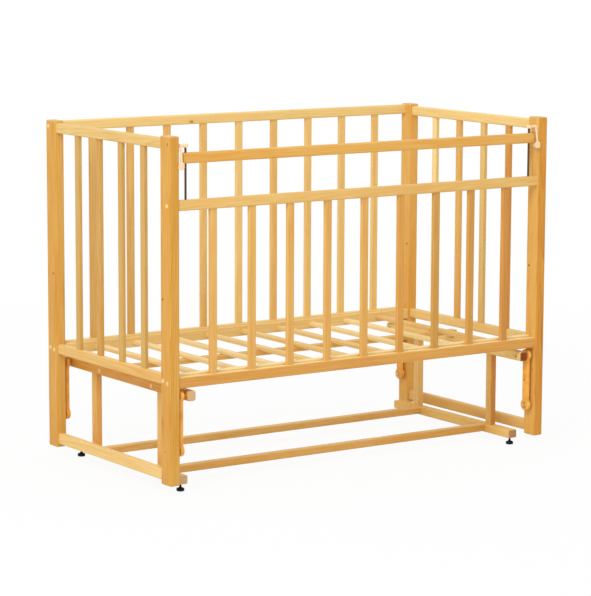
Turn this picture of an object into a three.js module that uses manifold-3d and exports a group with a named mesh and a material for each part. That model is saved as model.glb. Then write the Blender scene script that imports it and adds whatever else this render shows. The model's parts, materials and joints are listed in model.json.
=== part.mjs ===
// A slatted wooden crib that hangs on four pendulum arms in a low stand, with a front bar that drops.
// Millimetres. X runs along the crib, Y from the front to the back and Z up from the floor.
import * as THREE from 'three';
import { mergeVertices } from 'three/addons/utils/BufferGeometryUtils.js';
import Module from 'manifold-3d';

const wasm = await Module();
wasm.setup();

// Sizes that several pieces share
const mattressLength = 1190;
const mattressWidth = 600;
const mattressPlay = 10;
const runningGap = 0.3;
const cutOverrun = 2;
const facetLength = 1.6;

// Timber sections
const postThickness = 31;
const postDepth = 48;
const postRounding = 5;
const postEndRounding = 3;
const railThickness = 20;
const railHeight = 28;
const bottomRailHeight = 30;
const legRailHeight = 31;
const railRounding = 5;
const slatWidth = 21.5;
const slatThickness = 12;
const slatRounding = 3;

// Heights above the floor
const postBottom = 30;
const postTop = 952;
const backTopRailDrop = 3;
const endTopRailDrop = 7;
const dropBarDrop = 44.5;
const dropBarTravel = 95;
const endBaseRailTop = 324;
const frontBottomRailTop = 318.5;
const backBottomRailTop = 327;
const sideRailTop = 323;
const legRailTop = 70;
const upperBaseHoleHeight = 524;

// Domed plugs over the bolts, on the outer faces of the posts and the beams
const plugDiameter = 12;
const plugRise = 1.6;
const plugSeat = 3;
const beamPlugPlane = 143.5;

// How far the long rails' outer faces lie behind the posts' outer faces
const longRailSetback = 4;

// Slats and their tenons; a row's end space runs from the end of the rail to the middle of the first slat
const longSlatCount = 9;
const longSlatEndSpace = 110;
const endSlatCount = 4;
const endSlatEndSpace = 106.7;
const tenonShoulder = 2;
const tenonDepth = 9;

// Mattress base: side rails, cross slats with rounded tops and a batten under them
const sideRailGap = 2;
const sideRailRounding = 3;
const baseSlatWidth = 28;
const baseSlatCrown = 4;
const baseTenonDiameter = 11;
const baseTenonSteps = 8;
const battenWidth = 28;
const battenHeight = 13;
const battenEndSpace = 40;
const baseBoltDiameter = 7;

// Drop bar, its rods and its latches
const dropBarEndGap = 15;
const rodDiameter = 6;
const rodInset = 26.5;
const rodSocketDepth = 12;
const barBoreClearance = 0.5;
const bracketPlateThickness = 3;
const bracketPlateHeight = 30;
const tabHeight = 8;
const tabAboveBar = 13.5;
const tabPastRod = 9;
const bracketRounding = 1.5;
const tongueThickness = 3;
const tongueWidth = 10;
const tongueFromPost = 10.5;
const toothGap = 0.4;
const toothHeight = 12;
const toothWidth = 8.6;
const toothDepth = 14;
const pressPadWidth = 17;
const pressPadHeight = 18;
const pressPadThickness = 6;
const pressPadRounding = 6;
const neckHeight = 10;

// Stand: the gap lies between a beam and the posts' inner faces, and the setback is how far a foot's end
// lies behind the posts' outer faces
const beamGap = 25.5;
const footWidth = 30;
const footHeight = 24;
const footSetback = 49;
const footRounding = 4;
const stretcherWidth = 26;
const stretcherHeight = 20.5;
const stretcherPlane = 157.5;
const uprightThickness = 20;
const uprightWidth = 26;
const uprightPlane = 175.5;
const beamWidth = 26;
const beamHeight = 28;
const beamPastPivot = 19.5;
const beamBottom = 252;
const standEndRounding = 3;

// Levelling glides
const glideHeight = 20;
const glideDiameter = 26;
const glideFootThickness = 4;
const glideDome = 4;
const glideStemDiameter = 8;
const glideStemInFoot = 14;
const glideInset = 14;

// Pendulum arms and the pivot screws that carry them
const lowerPivotHeight = 120;
const bossDiameter = 31;
const bossThickness = 12;
const bossRounding = 1.5;
const armWidth = 20;
const armThickness = 9;
const armRounding = 2;
const pivotDiameter = 8;
const pivotHeadDiameter = 12;
const pivotHeadThickness = 2.5;
const spacerDiameter = 18;
const counterboreDiameter = 15;
const counterboreDepth = 3;
const armHoleDiameter = 4;
const armHoleHeight = 192.5;

// Places that follow from the sizes above
const halfLength = (mattressLength + mattressPlay) / 2 + postThickness;
const halfWidth = (mattressWidth + mattressPlay) / 2 + railThickness + longRailSetback;
const postInner = halfLength - postThickness;
const postPlaneX = halfLength - postThickness / 2;
const postPlaneY = halfWidth - postDepth / 2;
const beamLength = 2 * (postPlaneY + beamPastPivot);
const backTopRailTop = postTop - backTopRailDrop;
const endTopRailTop = postTop - endTopRailDrop;
const dropBarTop = postTop - dropBarDrop;
const dropBarBottom = dropBarTop - railHeight;
const midRailTop = dropBarBottom - dropBarTravel;
const longRailPlane = halfWidth - longRailSetback - railThickness / 2;
const endRailLength = 2 * (halfWidth - postDepth);
const longRailLength = 2 * postInner;
const longSlatPitch = (longRailLength - 2 * longSlatEndSpace) / (longSlatCount - 1);
const endSlatPitch = (endRailLength - 2 * endSlatEndSpace) / (endSlatCount - 1);
const battenLength = longRailLength - 2 * battenEndSpace;
const sideRailPlane = longRailPlane - railThickness - sideRailGap;
const sideRailMiddle = sideRailTop - bottomRailHeight / 2;
const footBottom = glideHeight;
const footTop = footBottom + footHeight;
const footLength = 2 * (halfWidth - footSetback);
const standPlane = postInner - beamGap - beamWidth / 2;
const beamMiddle = beamBottom + beamHeight / 2;
const beamOuter = standPlane + beamWidth / 2;
const armPlane = (beamOuter + postInner) / 2;
const spacerLength = (postInner - beamOuter - bossThickness) / 2 - runningGap;
const dropBarHalf = postInner - dropBarEndGap;
const rodPlaneX = postInner - rodInset;
const tabBottom = dropBarTop + tabAboveBar;
const crownSteps = 2;
const endSteps = 2;
const domeSteps = 3;
const plugDomeSteps = 2;
const plugSteps = 10;
const pinSteps = 12;
const bossSteps = 16;

// Finishes
const timber = new THREE.MeshStandardMaterial({ color: 0xe6b06a, roughness: 0.42, metalness: 0 });
const armPlastic = new THREE.MeshStandardMaterial({ color: 0xf0a83c, roughness: 0.38, metalness: 0 });
const latchPlastic = new THREE.MeshStandardMaterial({ color: 0xf6dcc0, roughness: 0.4, metalness: 0 });
const steel = new THREE.MeshStandardMaterial({ color: 0x5a4c42, roughness: 0.35, metalness: 1 });
const glidePlastic = new THREE.MeshStandardMaterial({ color: 0x1c1615, roughness: 0.5, metalness: 0 });

// A rectangle with round corners, centred on the origin; a small corner takes fewer steps than a large one
function roundedRectangle(width, height, radius) {
  const steps = Math.max(1, Math.round(radius / facetLength));
  const corners = [[1, 1], [-1, 1], [-1, -1], [1, -1]];
  const points = corners.flatMap(([sx, sy], quarter) => {
    const x = sx * (width / 2 - radius);
    const y = sy * (height / 2 - radius);
    return Array.from({ length: steps + 1 }, (_, i) => {
      const turn = (quarter + i / steps) * Math.PI / 2;
      return new THREE.Vector2(x + radius * Math.cos(turn), y + radius * Math.sin(turn));
    });
  });
  return new THREE.Shape(points);
}

// Turns that send a profile's two axes and its length onto the crib's axes
const turns = {
  x: new THREE.Matrix4().set(0, 0, 1, 0, 1, 0, 0, 0, 0, 1, 0, 0, 0, 0, 0, 1),
  y: new THREE.Matrix4().set(-1, 0, 0, 0, 0, 0, 1, 0, 0, 1, 0, 0, 0, 0, 0, 1),
  z: new THREE.Matrix4(),
};

// A profile carried along one axis and centred on the origin; its ends are rounded when asked
function prism(shape, length, axis, endRounding = 0) {
  const geometry = new THREE.ExtrudeGeometry(shape, {
    depth: length - 2 * endRounding,
    curveSegments: crownSteps,
    bevelEnabled: endRounding > 0,
    bevelThickness: endRounding,
    bevelSize: endRounding,
    bevelOffset: -endRounding,
    bevelSegments: endSteps,
  });
  geometry.translate(0, 0, endRounding - length / 2);
  return geometry.applyMatrix4(turns[axis]);
}

// A bar with rounded edges; across and up are its section seen from its end
function roundedBar(across, up, rounding, length, axis, endRounding = 0) {
  return prism(roundedRectangle(across, up, rounding), length, axis, endRounding);
}

// A round bar along X or Z, centred on the origin
function roundBar(diameter, length, axis, steps = pinSteps) {
  const geometry = new THREE.CylinderGeometry(diameter / 2, diameter / 2, length, steps);
  return axis === 'x' ? geometry.rotateZ(Math.PI / 2) : geometry.rotateX(Math.PI / 2);
}

function at(geometry, x, y, z) {
  return geometry.clone().translate(x, y, z);
}

function solidOf(geometry) {
  const bare = geometry.clone();
  bare.deleteAttribute('normal');
  bare.deleteAttribute('uv');
  const merged = mergeVertices(bare);
  return new wasm.Manifold(new wasm.Mesh({
    numProp: 3,
    vertProperties: new Float32Array(merged.attributes.position.array),
    triVerts: new Uint32Array(merged.index.array),
  }));
}

function geometryOf(solid) {
  const { numProp, vertProperties, triVerts } = solid.getMesh();
  const places = new Float32Array((vertProperties.length / numProp) * 3);
  for (let i = 0; i < places.length / 3; i += 1) {
    places.set(vertProperties.subarray(i * numProp, i * numProp + 3), i * 3);
  }
  const geometry = new THREE.BufferGeometry();
  geometry.setAttribute('position', new THREE.BufferAttribute(places, 3));
  geometry.setIndex(new THREE.BufferAttribute(new Uint32Array(triVerts), 1));
  geometry.computeVertexNormals();
  return geometry;
}

// Joins every piece of the first list and cuts every piece of the second out of it
function joined(pieces, cuts = []) {
  let solid = pieces.map(solidOf).reduce((whole, piece) => whole.add(piece));
  for (const cut of cuts) solid = solid.subtract(solidOf(cut));
  return geometryOf(solid);
}

function piece(group, name, geometry, material, x, y, z) {
  const mesh = new THREE.Mesh(geometry, material);
  mesh.name = name;
  mesh.position.set(x, y, z);
  group.add(mesh);
}

const sides = [['left', -1], ['right', 1]];
const faces = [['front', -1], ['back', 1]];

// Places of a row of slats, centred on the middle of the crib
function row(count, pitch) {
  return Array.from({ length: count }, (_, i) => (i - (count - 1) / 2) * pitch);
}
const longSlatPlaces = row(longSlatCount, longSlatPitch);
const endSlatPlaces = row(endSlatCount, endSlatPitch);

// An upright slat whose tenons reach into the rails below and above it; it is centred on its own middle
const tenonWidth = slatWidth - 2 * tenonShoulder;
const tenonThickness = slatThickness - 2 * tenonShoulder;
function uprightSlat(height, alongX) {
  const across = alongX ? [slatWidth, slatThickness] : [slatThickness, slatWidth];
  const tenon = alongX ? [tenonWidth, tenonThickness] : [tenonThickness, tenonWidth];
  const body = roundedBar(...across, slatRounding, height, 'z');
  const tongue = roundedBar(...tenon, tenonShoulder, height + 2 * (tenonDepth - runningGap), 'z');
  return joined([body, tongue]);
}

// The mortises that a row of upright slats needs in a rail along X, seen from the rail's middle
function mortises(places, depthFrom, side) {
  const width = tenonWidth + 2 * runningGap;
  const thickness = tenonThickness + 2 * runningGap;
  const length = tenonDepth + cutOverrun;
  const middle = depthFrom - side * (length / 2 - cutOverrun);
  const slot = roundedBar(width, thickness, tenonShoulder, length, 'z');
  return places.map((x) => at(slot, x, 0, middle));
}

// A long rail between two posts, with mortises in its top or its underside
function longRail(height, mortiseSide) {
  const bar = roundedBar(railThickness, height, railRounding, longRailLength, 'x');
  return joined([bar], mortises(longSlatPlaces, mortiseSide * height / 2, mortiseSide));
}

// A pivot screw along X, measured from the face that it stands on: a spacer, the shank that the arm
// turns on and the head that lies in the arm's counterbore. It reaches inwards or outwards by its sign.
function pivotScrew(sign, seat) {
  const shankLength = spacerLength + bossThickness - counterboreDepth + 2 * runningGap;
  const spacer = roundBar(spacerDiameter, seat + spacerLength, 'x');
  const shank = roundBar(pivotDiameter, seat + shankLength, 'x');
  const head = roundBar(pivotHeadDiameter, pivotHeadThickness, 'x');
  return [
    at(spacer, sign * (spacerLength - seat) / 2, 0, 0),
    at(shank, sign * (shankLength - seat) / 2, 0, 0),
    at(head, sign * (shankLength + pivotHeadThickness / 2), 0, 0),
  ];
}

// A domed plug, turned onto X with its dome pointing outwards; its origin lies on the face that it covers
function plug(sx) {
  const r = plugDiameter / 2;
  const profile = [new THREE.Vector2(0, -plugSeat), new THREE.Vector2(r, -plugSeat)];
  for (let i = 0; i < plugDomeSteps; i += 1) {
    const turn = (i / plugDomeSteps) * Math.PI / 2;
    profile.push(new THREE.Vector2(r * Math.cos(turn), plugRise * Math.sin(turn)));
  }
  profile.push(new THREE.Vector2(0, plugRise));
  return new THREE.LatheGeometry(profile, plugSteps).rotateZ(-sx * Math.PI / 2);
}

// Places of a post's plugs, across and up: one over the bolt of each rail that ends on the post, one over
// the bolt of the mattress base and, on a front post, one over the screw of the latch bracket
function plugPlaces(sy) {
  const tops = sy < 0 ? [midRailTop, frontBottomRailTop] : [backTopRailTop, backBottomRailTop];
  const heights = [tops[0] - railHeight / 2, tops[1] - bottomRailHeight / 2];
  if (sy < 0) heights.push(tabBottom + tabHeight);
  const places = heights.map((z) => [longRailPlane, z]);
  return [...places, [sideRailPlane, sideRailMiddle]];
}

// Posts: each carries the pivot screw of its arm and the upper hole for the mattress base
function post(sx, sy) {
  const height = postTop - postBottom;
  const middle = (postTop + postBottom) / 2;
  const bar = roundedBar(postThickness, postDepth, postRounding, height, 'z', postEndRounding);
  const face = -sx * postThickness / 2;
  const screw = pivotScrew(-sx, postThickness / 2);
  const pieces = [bar, ...screw.map((part) => at(part, face, 0, lowerPivotHeight - middle))];
  for (const [y, z] of plugPlaces(sy)) {
    pieces.push(at(plug(sx), -face, sy * (y - postPlaneY), z - middle));
  }
  const hole = roundBar(baseBoltDiameter, postThickness + 2 * cutOverrun, 'x');
  const holeY = sy * (sideRailPlane - postPlaneY);
  return joined(pieces, [at(hole, 0, holeY, upperBaseHoleHeight - middle)]);
}

// End panel: the lower rail and its upright slats are one glued frame, and the top rail closes it
function endBaseRail() {
  const rail = roundedBar(railThickness, railHeight, railRounding, endRailLength, 'y');
  const slatHeight = endTopRailTop - railHeight - endBaseRailTop;
  const slat = roundedBar(slatThickness, slatWidth, slatRounding, slatHeight + railHeight / 2, 'z');
  const tongueHeight = slatHeight + railHeight / 2 + tenonDepth - runningGap;
  const tongue = roundedBar(tenonThickness, tenonWidth, tenonShoulder, tongueHeight, 'z');
  const pieces = [rail];
  for (const y of endSlatPlaces) {
    pieces.push(at(slat, 0, y, (slatHeight + railHeight / 2) / 2));
    pieces.push(at(tongue, 0, y, tongueHeight / 2));
  }
  return joined(pieces);
}

function endTopRail() {
  const bar = roundedBar(railThickness, railHeight, railRounding, endRailLength, 'y');
  const length = tenonDepth + cutOverrun;
  const width = tenonWidth + 2 * runningGap;
  const slot = roundedBar(tenonThickness + 2 * runningGap, width, tenonShoulder, length, 'z');
  const middle = -railHeight / 2 + length / 2 - cutOverrun;
  return joined([bar], endSlatPlaces.map((y) => at(slot, 0, y, middle)));
}

function addEndPanels(group) {
  for (const [side, sx] of sides) {
    for (const [face, sy] of faces) {
      const middle = (postTop + postBottom) / 2;
      piece(group, `post_${face}_${side}`, post(sx, sy), timber, sx * postPlaneX, sy * postPlaneY, middle);
    }
    const leg = roundedBar(railThickness, legRailHeight, railRounding, endRailLength, 'y');
    const x = sx * postPlaneX;
    piece(group, `end_top_rail_${side}`, endTopRail(), timber, x, 0, endTopRailTop - railHeight / 2);
    piece(group, `end_slat_frame_${side}`, endBaseRail(), timber, x, 0, endBaseRailTop - railHeight / 2);
    piece(group, `end_leg_rail_${side}`, leg, timber, x, 0, legRailTop - legRailHeight / 2);
  }
}

function addSlats(group, name, bottom, top, y) {
  longSlatPlaces.forEach((x, i) => {
    piece(group, `${name}_${i + 1}`, uprightSlat(top - bottom, true), timber, x, y, (top + bottom) / 2);
  });
}

function addBackPanel(group) {
  const y = longRailPlane;
  const top = backTopRailTop - railHeight;
  piece(group, 'back_top_rail', longRail(railHeight, -1), timber, 0, y, top + railHeight / 2);
  const bottomMiddle = backBottomRailTop - bottomRailHeight / 2;
  piece(group, 'back_bottom_rail', longRail(bottomRailHeight, 1), timber, 0, y, bottomMiddle);
  addSlats(group, 'back_slat', backBottomRailTop, top, y);
}

// The middle rail takes the feet of the two guide rods in blind holes
function addFrontPanel(group) {
  const y = -longRailPlane;
  const under = midRailTop - railHeight;
  const bar = roundedBar(railThickness, railHeight, railRounding, longRailLength, 'x');
  const socketLength = rodSocketDepth + cutOverrun;
  const socket = roundBar(rodDiameter + 2 * runningGap, socketLength, 'z');
  const socketZ = railHeight / 2 - socketLength / 2 + cutOverrun;
  const cuts = mortises(longSlatPlaces, -railHeight / 2, -1);
  for (const [, sx] of sides) cuts.push(at(socket, sx * rodPlaneX, 0, socketZ));
  piece(group, 'front_mid_rail', joined([bar], cuts), timber, 0, y, under + railHeight / 2);
  const bottomMiddle = frontBottomRailTop - bottomRailHeight / 2;
  piece(group, 'front_bottom_rail', longRail(bottomRailHeight, 1), timber, 0, y, bottomMiddle);
  addSlats(group, 'front_slat', frontBottomRailTop, under, y);
}

// A base slat has a flat underside, straight edges and a crowned top; its ends are round tenons
function baseSlatProfile() {
  const shape = new THREE.Shape();
  const half = baseSlatWidth / 2;
  const edge = slatThickness / 2 - baseSlatCrown;
  const radius = (half * half + baseSlatCrown * baseSlatCrown) / (2 * baseSlatCrown);
  const sweep = Math.asin(half / radius);
  shape.moveTo(-half, -slatThickness / 2);
  shape.lineTo(half, -slatThickness / 2);
  shape.lineTo(half, edge);
  shape.absarc(0, slatThickness / 2 - radius, radius, Math.PI / 2 - sweep, Math.PI / 2 + sweep);
  shape.closePath();
  return shape;
}

function addMattressBase(group) {
  const inner = 2 * (sideRailPlane - railThickness / 2 - runningGap);
  const slat = prism(baseSlatProfile(), inner, 'y');
  const tenonLength = inner + 2 * tenonDepth;
  const tenon = roundBar(baseTenonDiameter, tenonLength, 'z', baseTenonSteps).rotateX(Math.PI / 2);
  const batten = roundedBar(battenWidth, battenHeight, sideRailRounding, battenLength, 'x');
  const pieces = [at(batten, 0, 0, -(slatThickness + battenHeight) / 2)];
  for (const x of longSlatPlaces) pieces.push(at(slat, x, 0, 0), at(tenon, x, 0, 0));
  piece(group, 'mattress_slats', joined(pieces), timber, 0, 0, sideRailMiddle);
  const bar = roundedBar(railThickness, bottomRailHeight, sideRailRounding, longRailLength, 'x');
  const boreLength = tenonDepth + runningGap + cutOverrun;
  const boreDiameter = baseTenonDiameter + 2 * runningGap;
  const bore = roundBar(boreDiameter, boreLength, 'z', baseTenonSteps).rotateX(Math.PI / 2);
  for (const [face, sy] of faces) {
    const y = -sy * (railThickness / 2 - boreLength / 2 + cutOverrun);
    const cuts = longSlatPlaces.map((x) => at(bore, x, y, 0));
    const rail = joined([bar], cuts);
    piece(group, `base_side_rail_${face}`, rail, timber, 0, sy * sideRailPlane, sideRailMiddle);
  }
}

// The drop bar slides on two steel rods between the middle rail and the latch brackets
function dropBar() {
  const bar = roundedBar(railThickness, railHeight, railRounding, 2 * dropBarHalf, 'x');
  const boreDiameter = rodDiameter + 2 * barBoreClearance;
  const bore = roundBar(boreDiameter, railHeight + 2 * cutOverrun, 'z');
  return joined([bar], sides.map(([, sx]) => at(bore, sx * rodPlaneX, 0, 0)));
}

function addGuideRods(group) {
  const bottom = midRailTop - rodSocketDepth + runningGap;
  const top = tabBottom + tabHeight / 2;
  for (const [side, sx] of sides) {
    const rod = roundBar(rodDiameter, top - bottom, 'z');
    piece(group, `guide_rod_${side}`, rod, steel, sx * rodPlaneX, -longRailPlane, (top + bottom) / 2);
  }
}

// Latch bracket: a plate on the post's inner face and a tab that holds the top of the guide rod
function latchBracket(sx) {
  const plate = roundedBar(bracketPlateThickness, railThickness, bracketRounding, bracketPlateHeight, 'z');
  const tabLength = postInner - rodPlaneX + tabPastRod;
  const tabMiddle = postInner - tabLength / 2;
  const tab = roundedBar(tabLength, railThickness - tenonShoulder, bracketRounding, tabHeight, 'z');
  const socketLength = tabHeight / 2 + runningGap + cutOverrun;
  const socket = roundBar(rodDiameter + 2 * runningGap, socketLength, 'z');
  const socketZ = -tabHeight / 2 + socketLength / 2 - cutOverrun;
  const plateX = sx * (postInner - bracketPlateThickness / 2);
  return joined(
    [at(plate, plateX, 0, 0), at(tab, sx * tabMiddle, 0, 0)],
    [at(socket, sx * rodPlaneX, 0, socketZ)],
  );
}

// Latch tongue: a springy strap that hangs from the tab, with a tooth at the bar's end and a press pad
// that stands in front of the post. Places along X are measured inwards from the post's inner face.
function latchTongue(sx) {
  const strapTop = -runningGap;
  const toothTop = dropBarBottom - tabBottom - runningGap;
  const toothMiddle = toothTop - toothHeight / 2;
  const strapBottom = toothTop - toothHeight;
  const strap = roundedBar(tongueThickness, tongueWidth, bracketRounding, strapTop - strapBottom, 'z');
  const tooth = roundedBar(toothWidth, toothDepth, bracketRounding, toothHeight, 'z');
  const toothX = tongueFromPost + tongueThickness / 2 - (dropBarEndGap - toothGap - toothWidth / 2);
  const padGapY = halfWidth + runningGap;
  const padY = -(padGapY + pressPadThickness / 2) + longRailPlane;
  const padShape = roundedRectangle(pressPadWidth, pressPadHeight, pressPadRounding);
  const pad = prism(padShape, pressPadThickness, 'y', bracketRounding);
  const padX = toothX - toothWidth / 2 + pressPadWidth / 2;
  const neckLength = padGapY + pressPadThickness / 2 - longRailPlane;
  const neck = roundedBar(toothWidth, neckHeight, bracketRounding, neckLength, 'y');
  return joined([
    at(strap, 0, 0, (strapTop + strapBottom) / 2),
    at(tooth, sx * toothX, 0, toothMiddle),
    at(neck, sx * toothX, -neckLength / 2, toothMiddle),
    at(pad, sx * padX, padY, toothMiddle),
  ]);
}

function addDropSide(group) {
  const y = -longRailPlane;
  piece(group, 'drop_bar', dropBar(), timber, 0, y, dropBarTop - railHeight / 2);
  addGuideRods(group);
  for (const [side, sx] of sides) {
    const tongueX = postInner - tongueFromPost - tongueThickness / 2;
    piece(group, `latch_bracket_${side}`, latchBracket(sx), latchPlastic, 0, y, tabBottom + tabHeight / 2);
    piece(group, `latch_tongue_${side}`, latchTongue(sx), latchPlastic, sx * tongueX, y, tabBottom);
  }
}

// Stand: two feet, two stretchers, four uprights and two beams that carry the arms' upper pivots
function foot() {
  const bar = roundedBar(footWidth, footHeight, footRounding, footLength, 'y', standEndRounding);
  const holeLength = glideStemInFoot + runningGap + cutOverrun;
  const hole = roundBar(glideStemDiameter + 2 * runningGap, holeLength, 'z');
  const z = -footHeight / 2 + holeLength / 2 - cutOverrun;
  return joined([bar], faces.map(([, sy]) => at(hole, 0, sy * (footLength / 2 - glideInset), z)));
}

function beam(sx) {
  const bar = roundedBar(beamWidth, beamHeight, footRounding, beamLength, 'y', standEndRounding);
  const pieces = [bar];
  for (const [, sy] of faces) {
    const screw = pivotScrew(sx, beamWidth / 2);
    pieces.push(...screw.map((part) => at(part, sx * beamWidth / 2, sy * postPlaneY, 0)));
    pieces.push(at(plug(sx), sx * beamWidth / 2, sy * beamPlugPlane, 0));
  }
  return joined(pieces);
}

function addStand(group) {
  const stretcherLength = 2 * standPlane - footWidth;
  const stretcher = roundedBar(stretcherWidth, stretcherHeight, footRounding, stretcherLength, 'x');
  const upright = roundedBar(uprightThickness, uprightWidth, footRounding, beamBottom - footTop, 'z');
  for (const [side, sx] of sides) {
    piece(group, `foot_${side}`, foot(), timber, sx * standPlane, 0, footBottom + footHeight / 2);
    piece(group, `beam_${side}`, beam(sx), timber, sx * standPlane, 0, beamMiddle);
    for (const [face, sy] of faces) {
      const middle = (beamBottom + footTop) / 2;
      piece(group, `upright_${face}_${side}`, upright, timber, sx * standPlane, sy * uprightPlane, middle);
    }
  }
  for (const [face, sy] of faces) {
    const z = footTop - stretcherHeight / 2;
    piece(group, `stretcher_${face}`, stretcher, timber, 0, sy * stretcherPlane, z);
  }
}

// A levelling glide: a domed disc on a threaded stem that turns in the foot
function glide() {
  const radius = glideDiameter / 2;
  const stem = glideStemDiameter / 2;
  const profile = [new THREE.Vector2(0, 0), new THREE.Vector2(radius, 0)];
  for (let i = 0; i <= domeSteps; i += 1) {
    const turn = (i / domeSteps) * Math.PI / 2;
    const r = stem + (radius - stem) * Math.cos(turn);
    profile.push(new THREE.Vector2(r, glideFootThickness + glideDome * Math.sin(turn)));
  }
  profile.push(new THREE.Vector2(stem, glideHeight + glideStemInFoot));
  profile.push(new THREE.Vector2(0, glideHeight + glideStemInFoot));
  return new THREE.LatheGeometry(profile, pinSteps).rotateX(Math.PI / 2);
}

function addGlides(group) {
  for (const [side, sx] of sides) {
    for (const [face, sy] of faces) {
      const y = sy * (footLength / 2 - glideInset);
      piece(group, `glide_${face}_${side}`, glide(), glidePlastic, sx * standPlane, y, 0);
    }
  }
}

// A boss of the arm: a disc with rounded rims, turned onto X
function boss() {
  const r = bossDiameter / 2;
  const h = bossThickness / 2;
  const points = [new THREE.Vector2(0, -h), new THREE.Vector2(r - bossRounding, -h)];
  points.push(new THREE.Vector2(r, -h + bossRounding), new THREE.Vector2(r, h - bossRounding));
  points.push(new THREE.Vector2(r - bossRounding, h), new THREE.Vector2(0, h));
  return new THREE.LatheGeometry(points, bossSteps).rotateZ(Math.PI / 2);
}

// A pendulum arm, measured from its upper pivot: a straight bar with a boss at each end. The upper boss
// is counterbored on its outer face and the lower one on its inner face, for the heads of the screws.
function arm(sx) {
  const drop = beamMiddle - lowerPivotHeight;
  const bar = roundedBar(armThickness, armWidth, armRounding, drop, 'z');
  const bore = roundBar(pivotDiameter + 2 * runningGap, bossThickness + 2 * cutOverrun, 'x');
  const sinkLength = counterboreDepth + cutOverrun;
  const sink = roundBar(counterboreDiameter, sinkLength, 'x', bossSteps);
  const sinkX = sx * (bossThickness / 2 - counterboreDepth + sinkLength / 2);
  const eye = roundBar(armHoleDiameter, bossThickness, 'x');
  return joined([boss(), at(boss(), 0, 0, -drop), at(bar, 0, 0, -drop / 2)], [
    bore,
    at(bore, 0, 0, -drop),
    at(sink, sinkX, 0, 0),
    at(sink, -sinkX, 0, -drop),
    at(eye, 0, 0, armHoleHeight - beamMiddle),
  ]);
}

function addArms(group) {
  for (const [side, sx] of sides) {
    for (const [face, sy] of faces) {
      piece(group, `arm_${face}_${side}`, arm(sx), armPlastic, sx * armPlane, sy * postPlaneY, beamMiddle);
    }
  }
}

// The origin lies under the middle of the whole crib, with the press pads that stand in front of its posts
const whole = new THREE.Group();
whole.position.y = (runningGap + pressPadThickness) / 2;
addEndPanels(whole);
addBackPanel(whole);
addFrontPanel(whole);
addMattressBase(whole);
addDropSide(whole);
addStand(whole);
addGlides(whole);
addArms(whole);

const crib = new THREE.Group();
crib.add(whole);

export default crib;
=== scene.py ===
"""A slatted wooden crib that hangs on four pendulum arms in a low stand.

Metres, in the frame of the CAD model: X runs along the crib, Y from its front to its back, Z up from the floor.
"""

import json
import math
import zlib

import bpy
import numpy as np
from bpy.props import FloatProperty, FloatVectorProperty, IntProperty, PointerProperty
from mathutils import Matrix, Vector

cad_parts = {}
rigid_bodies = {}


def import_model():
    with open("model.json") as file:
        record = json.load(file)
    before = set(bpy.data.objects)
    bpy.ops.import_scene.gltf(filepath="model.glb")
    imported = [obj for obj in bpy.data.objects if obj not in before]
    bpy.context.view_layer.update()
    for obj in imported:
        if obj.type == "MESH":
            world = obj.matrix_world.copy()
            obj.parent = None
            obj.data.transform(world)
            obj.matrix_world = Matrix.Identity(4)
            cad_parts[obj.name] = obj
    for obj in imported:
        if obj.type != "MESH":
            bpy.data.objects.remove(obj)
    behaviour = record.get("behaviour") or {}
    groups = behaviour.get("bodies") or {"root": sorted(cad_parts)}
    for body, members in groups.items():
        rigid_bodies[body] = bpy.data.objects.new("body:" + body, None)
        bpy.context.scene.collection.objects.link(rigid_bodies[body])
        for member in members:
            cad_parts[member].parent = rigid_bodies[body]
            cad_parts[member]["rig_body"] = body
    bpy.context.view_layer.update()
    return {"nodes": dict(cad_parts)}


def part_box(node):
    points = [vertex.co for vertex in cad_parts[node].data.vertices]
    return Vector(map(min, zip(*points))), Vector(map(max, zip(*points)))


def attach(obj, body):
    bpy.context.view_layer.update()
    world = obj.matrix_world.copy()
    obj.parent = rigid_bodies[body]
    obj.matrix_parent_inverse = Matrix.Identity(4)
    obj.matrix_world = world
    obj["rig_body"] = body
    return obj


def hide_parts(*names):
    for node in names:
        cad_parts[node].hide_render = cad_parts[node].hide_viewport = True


bl_info = {
    "name": "Slatted crib on pendulum arms",
    "version": (1, 0, 0),
    "blender": (4, 5, 0),
    "location": "View3D > Sidebar > Crib",
    "description": "Builds the timber, mouldings, fittings and stage of a slatted crib round its CAD frame",
    "category": "Object",
}

MM = 0.001

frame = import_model()

SIDES = (("left", -1), ("right", 1))
FACES = ("front", "back")
CORNERS = [(face, side, sx) for side, sx in SIDES for face in FACES]


def linear(code):
    """A colour written as sRGB hex, such as E8B46A, turned to Blender's linear red, green and blue."""
    parts = np.array([int(code[i : i + 2], 16) for i in (0, 2, 4)]) / 255
    low = parts / 12.92
    high = ((parts + 0.055) / 1.055) ** 2.4
    return tuple(float(x) for x in np.where(parts <= 0.04045, low, high))


# Settings that a user would change


def length(name, description, default, most=50):
    """A length, with its default and its most in millimetres."""
    bounds = {"default": default * MM, "min": 0.0, "max": most * MM}
    return FloatProperty(name=name, description=description, unit="LENGTH", precision=4, **bounds)


def colour(name, description, code):
    """A colour with a default written as sRGB hex."""
    bounds = {"default": linear(code), "min": 0.0, "max": 1.0}
    return FloatVectorProperty(name=name, description=description, size=3, subtype="COLOR", **bounds)


def share(name, description, default, most=1.0):
    """A number without a unit."""
    return FloatProperty(name=name, description=description, default=default, min=0.0, max=most)


def rotation(name, description, degrees):
    """An angle, with its default in degrees."""
    return FloatProperty(name=name, description=description, default=math.radians(degrees), unit="ROTATION")


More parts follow.
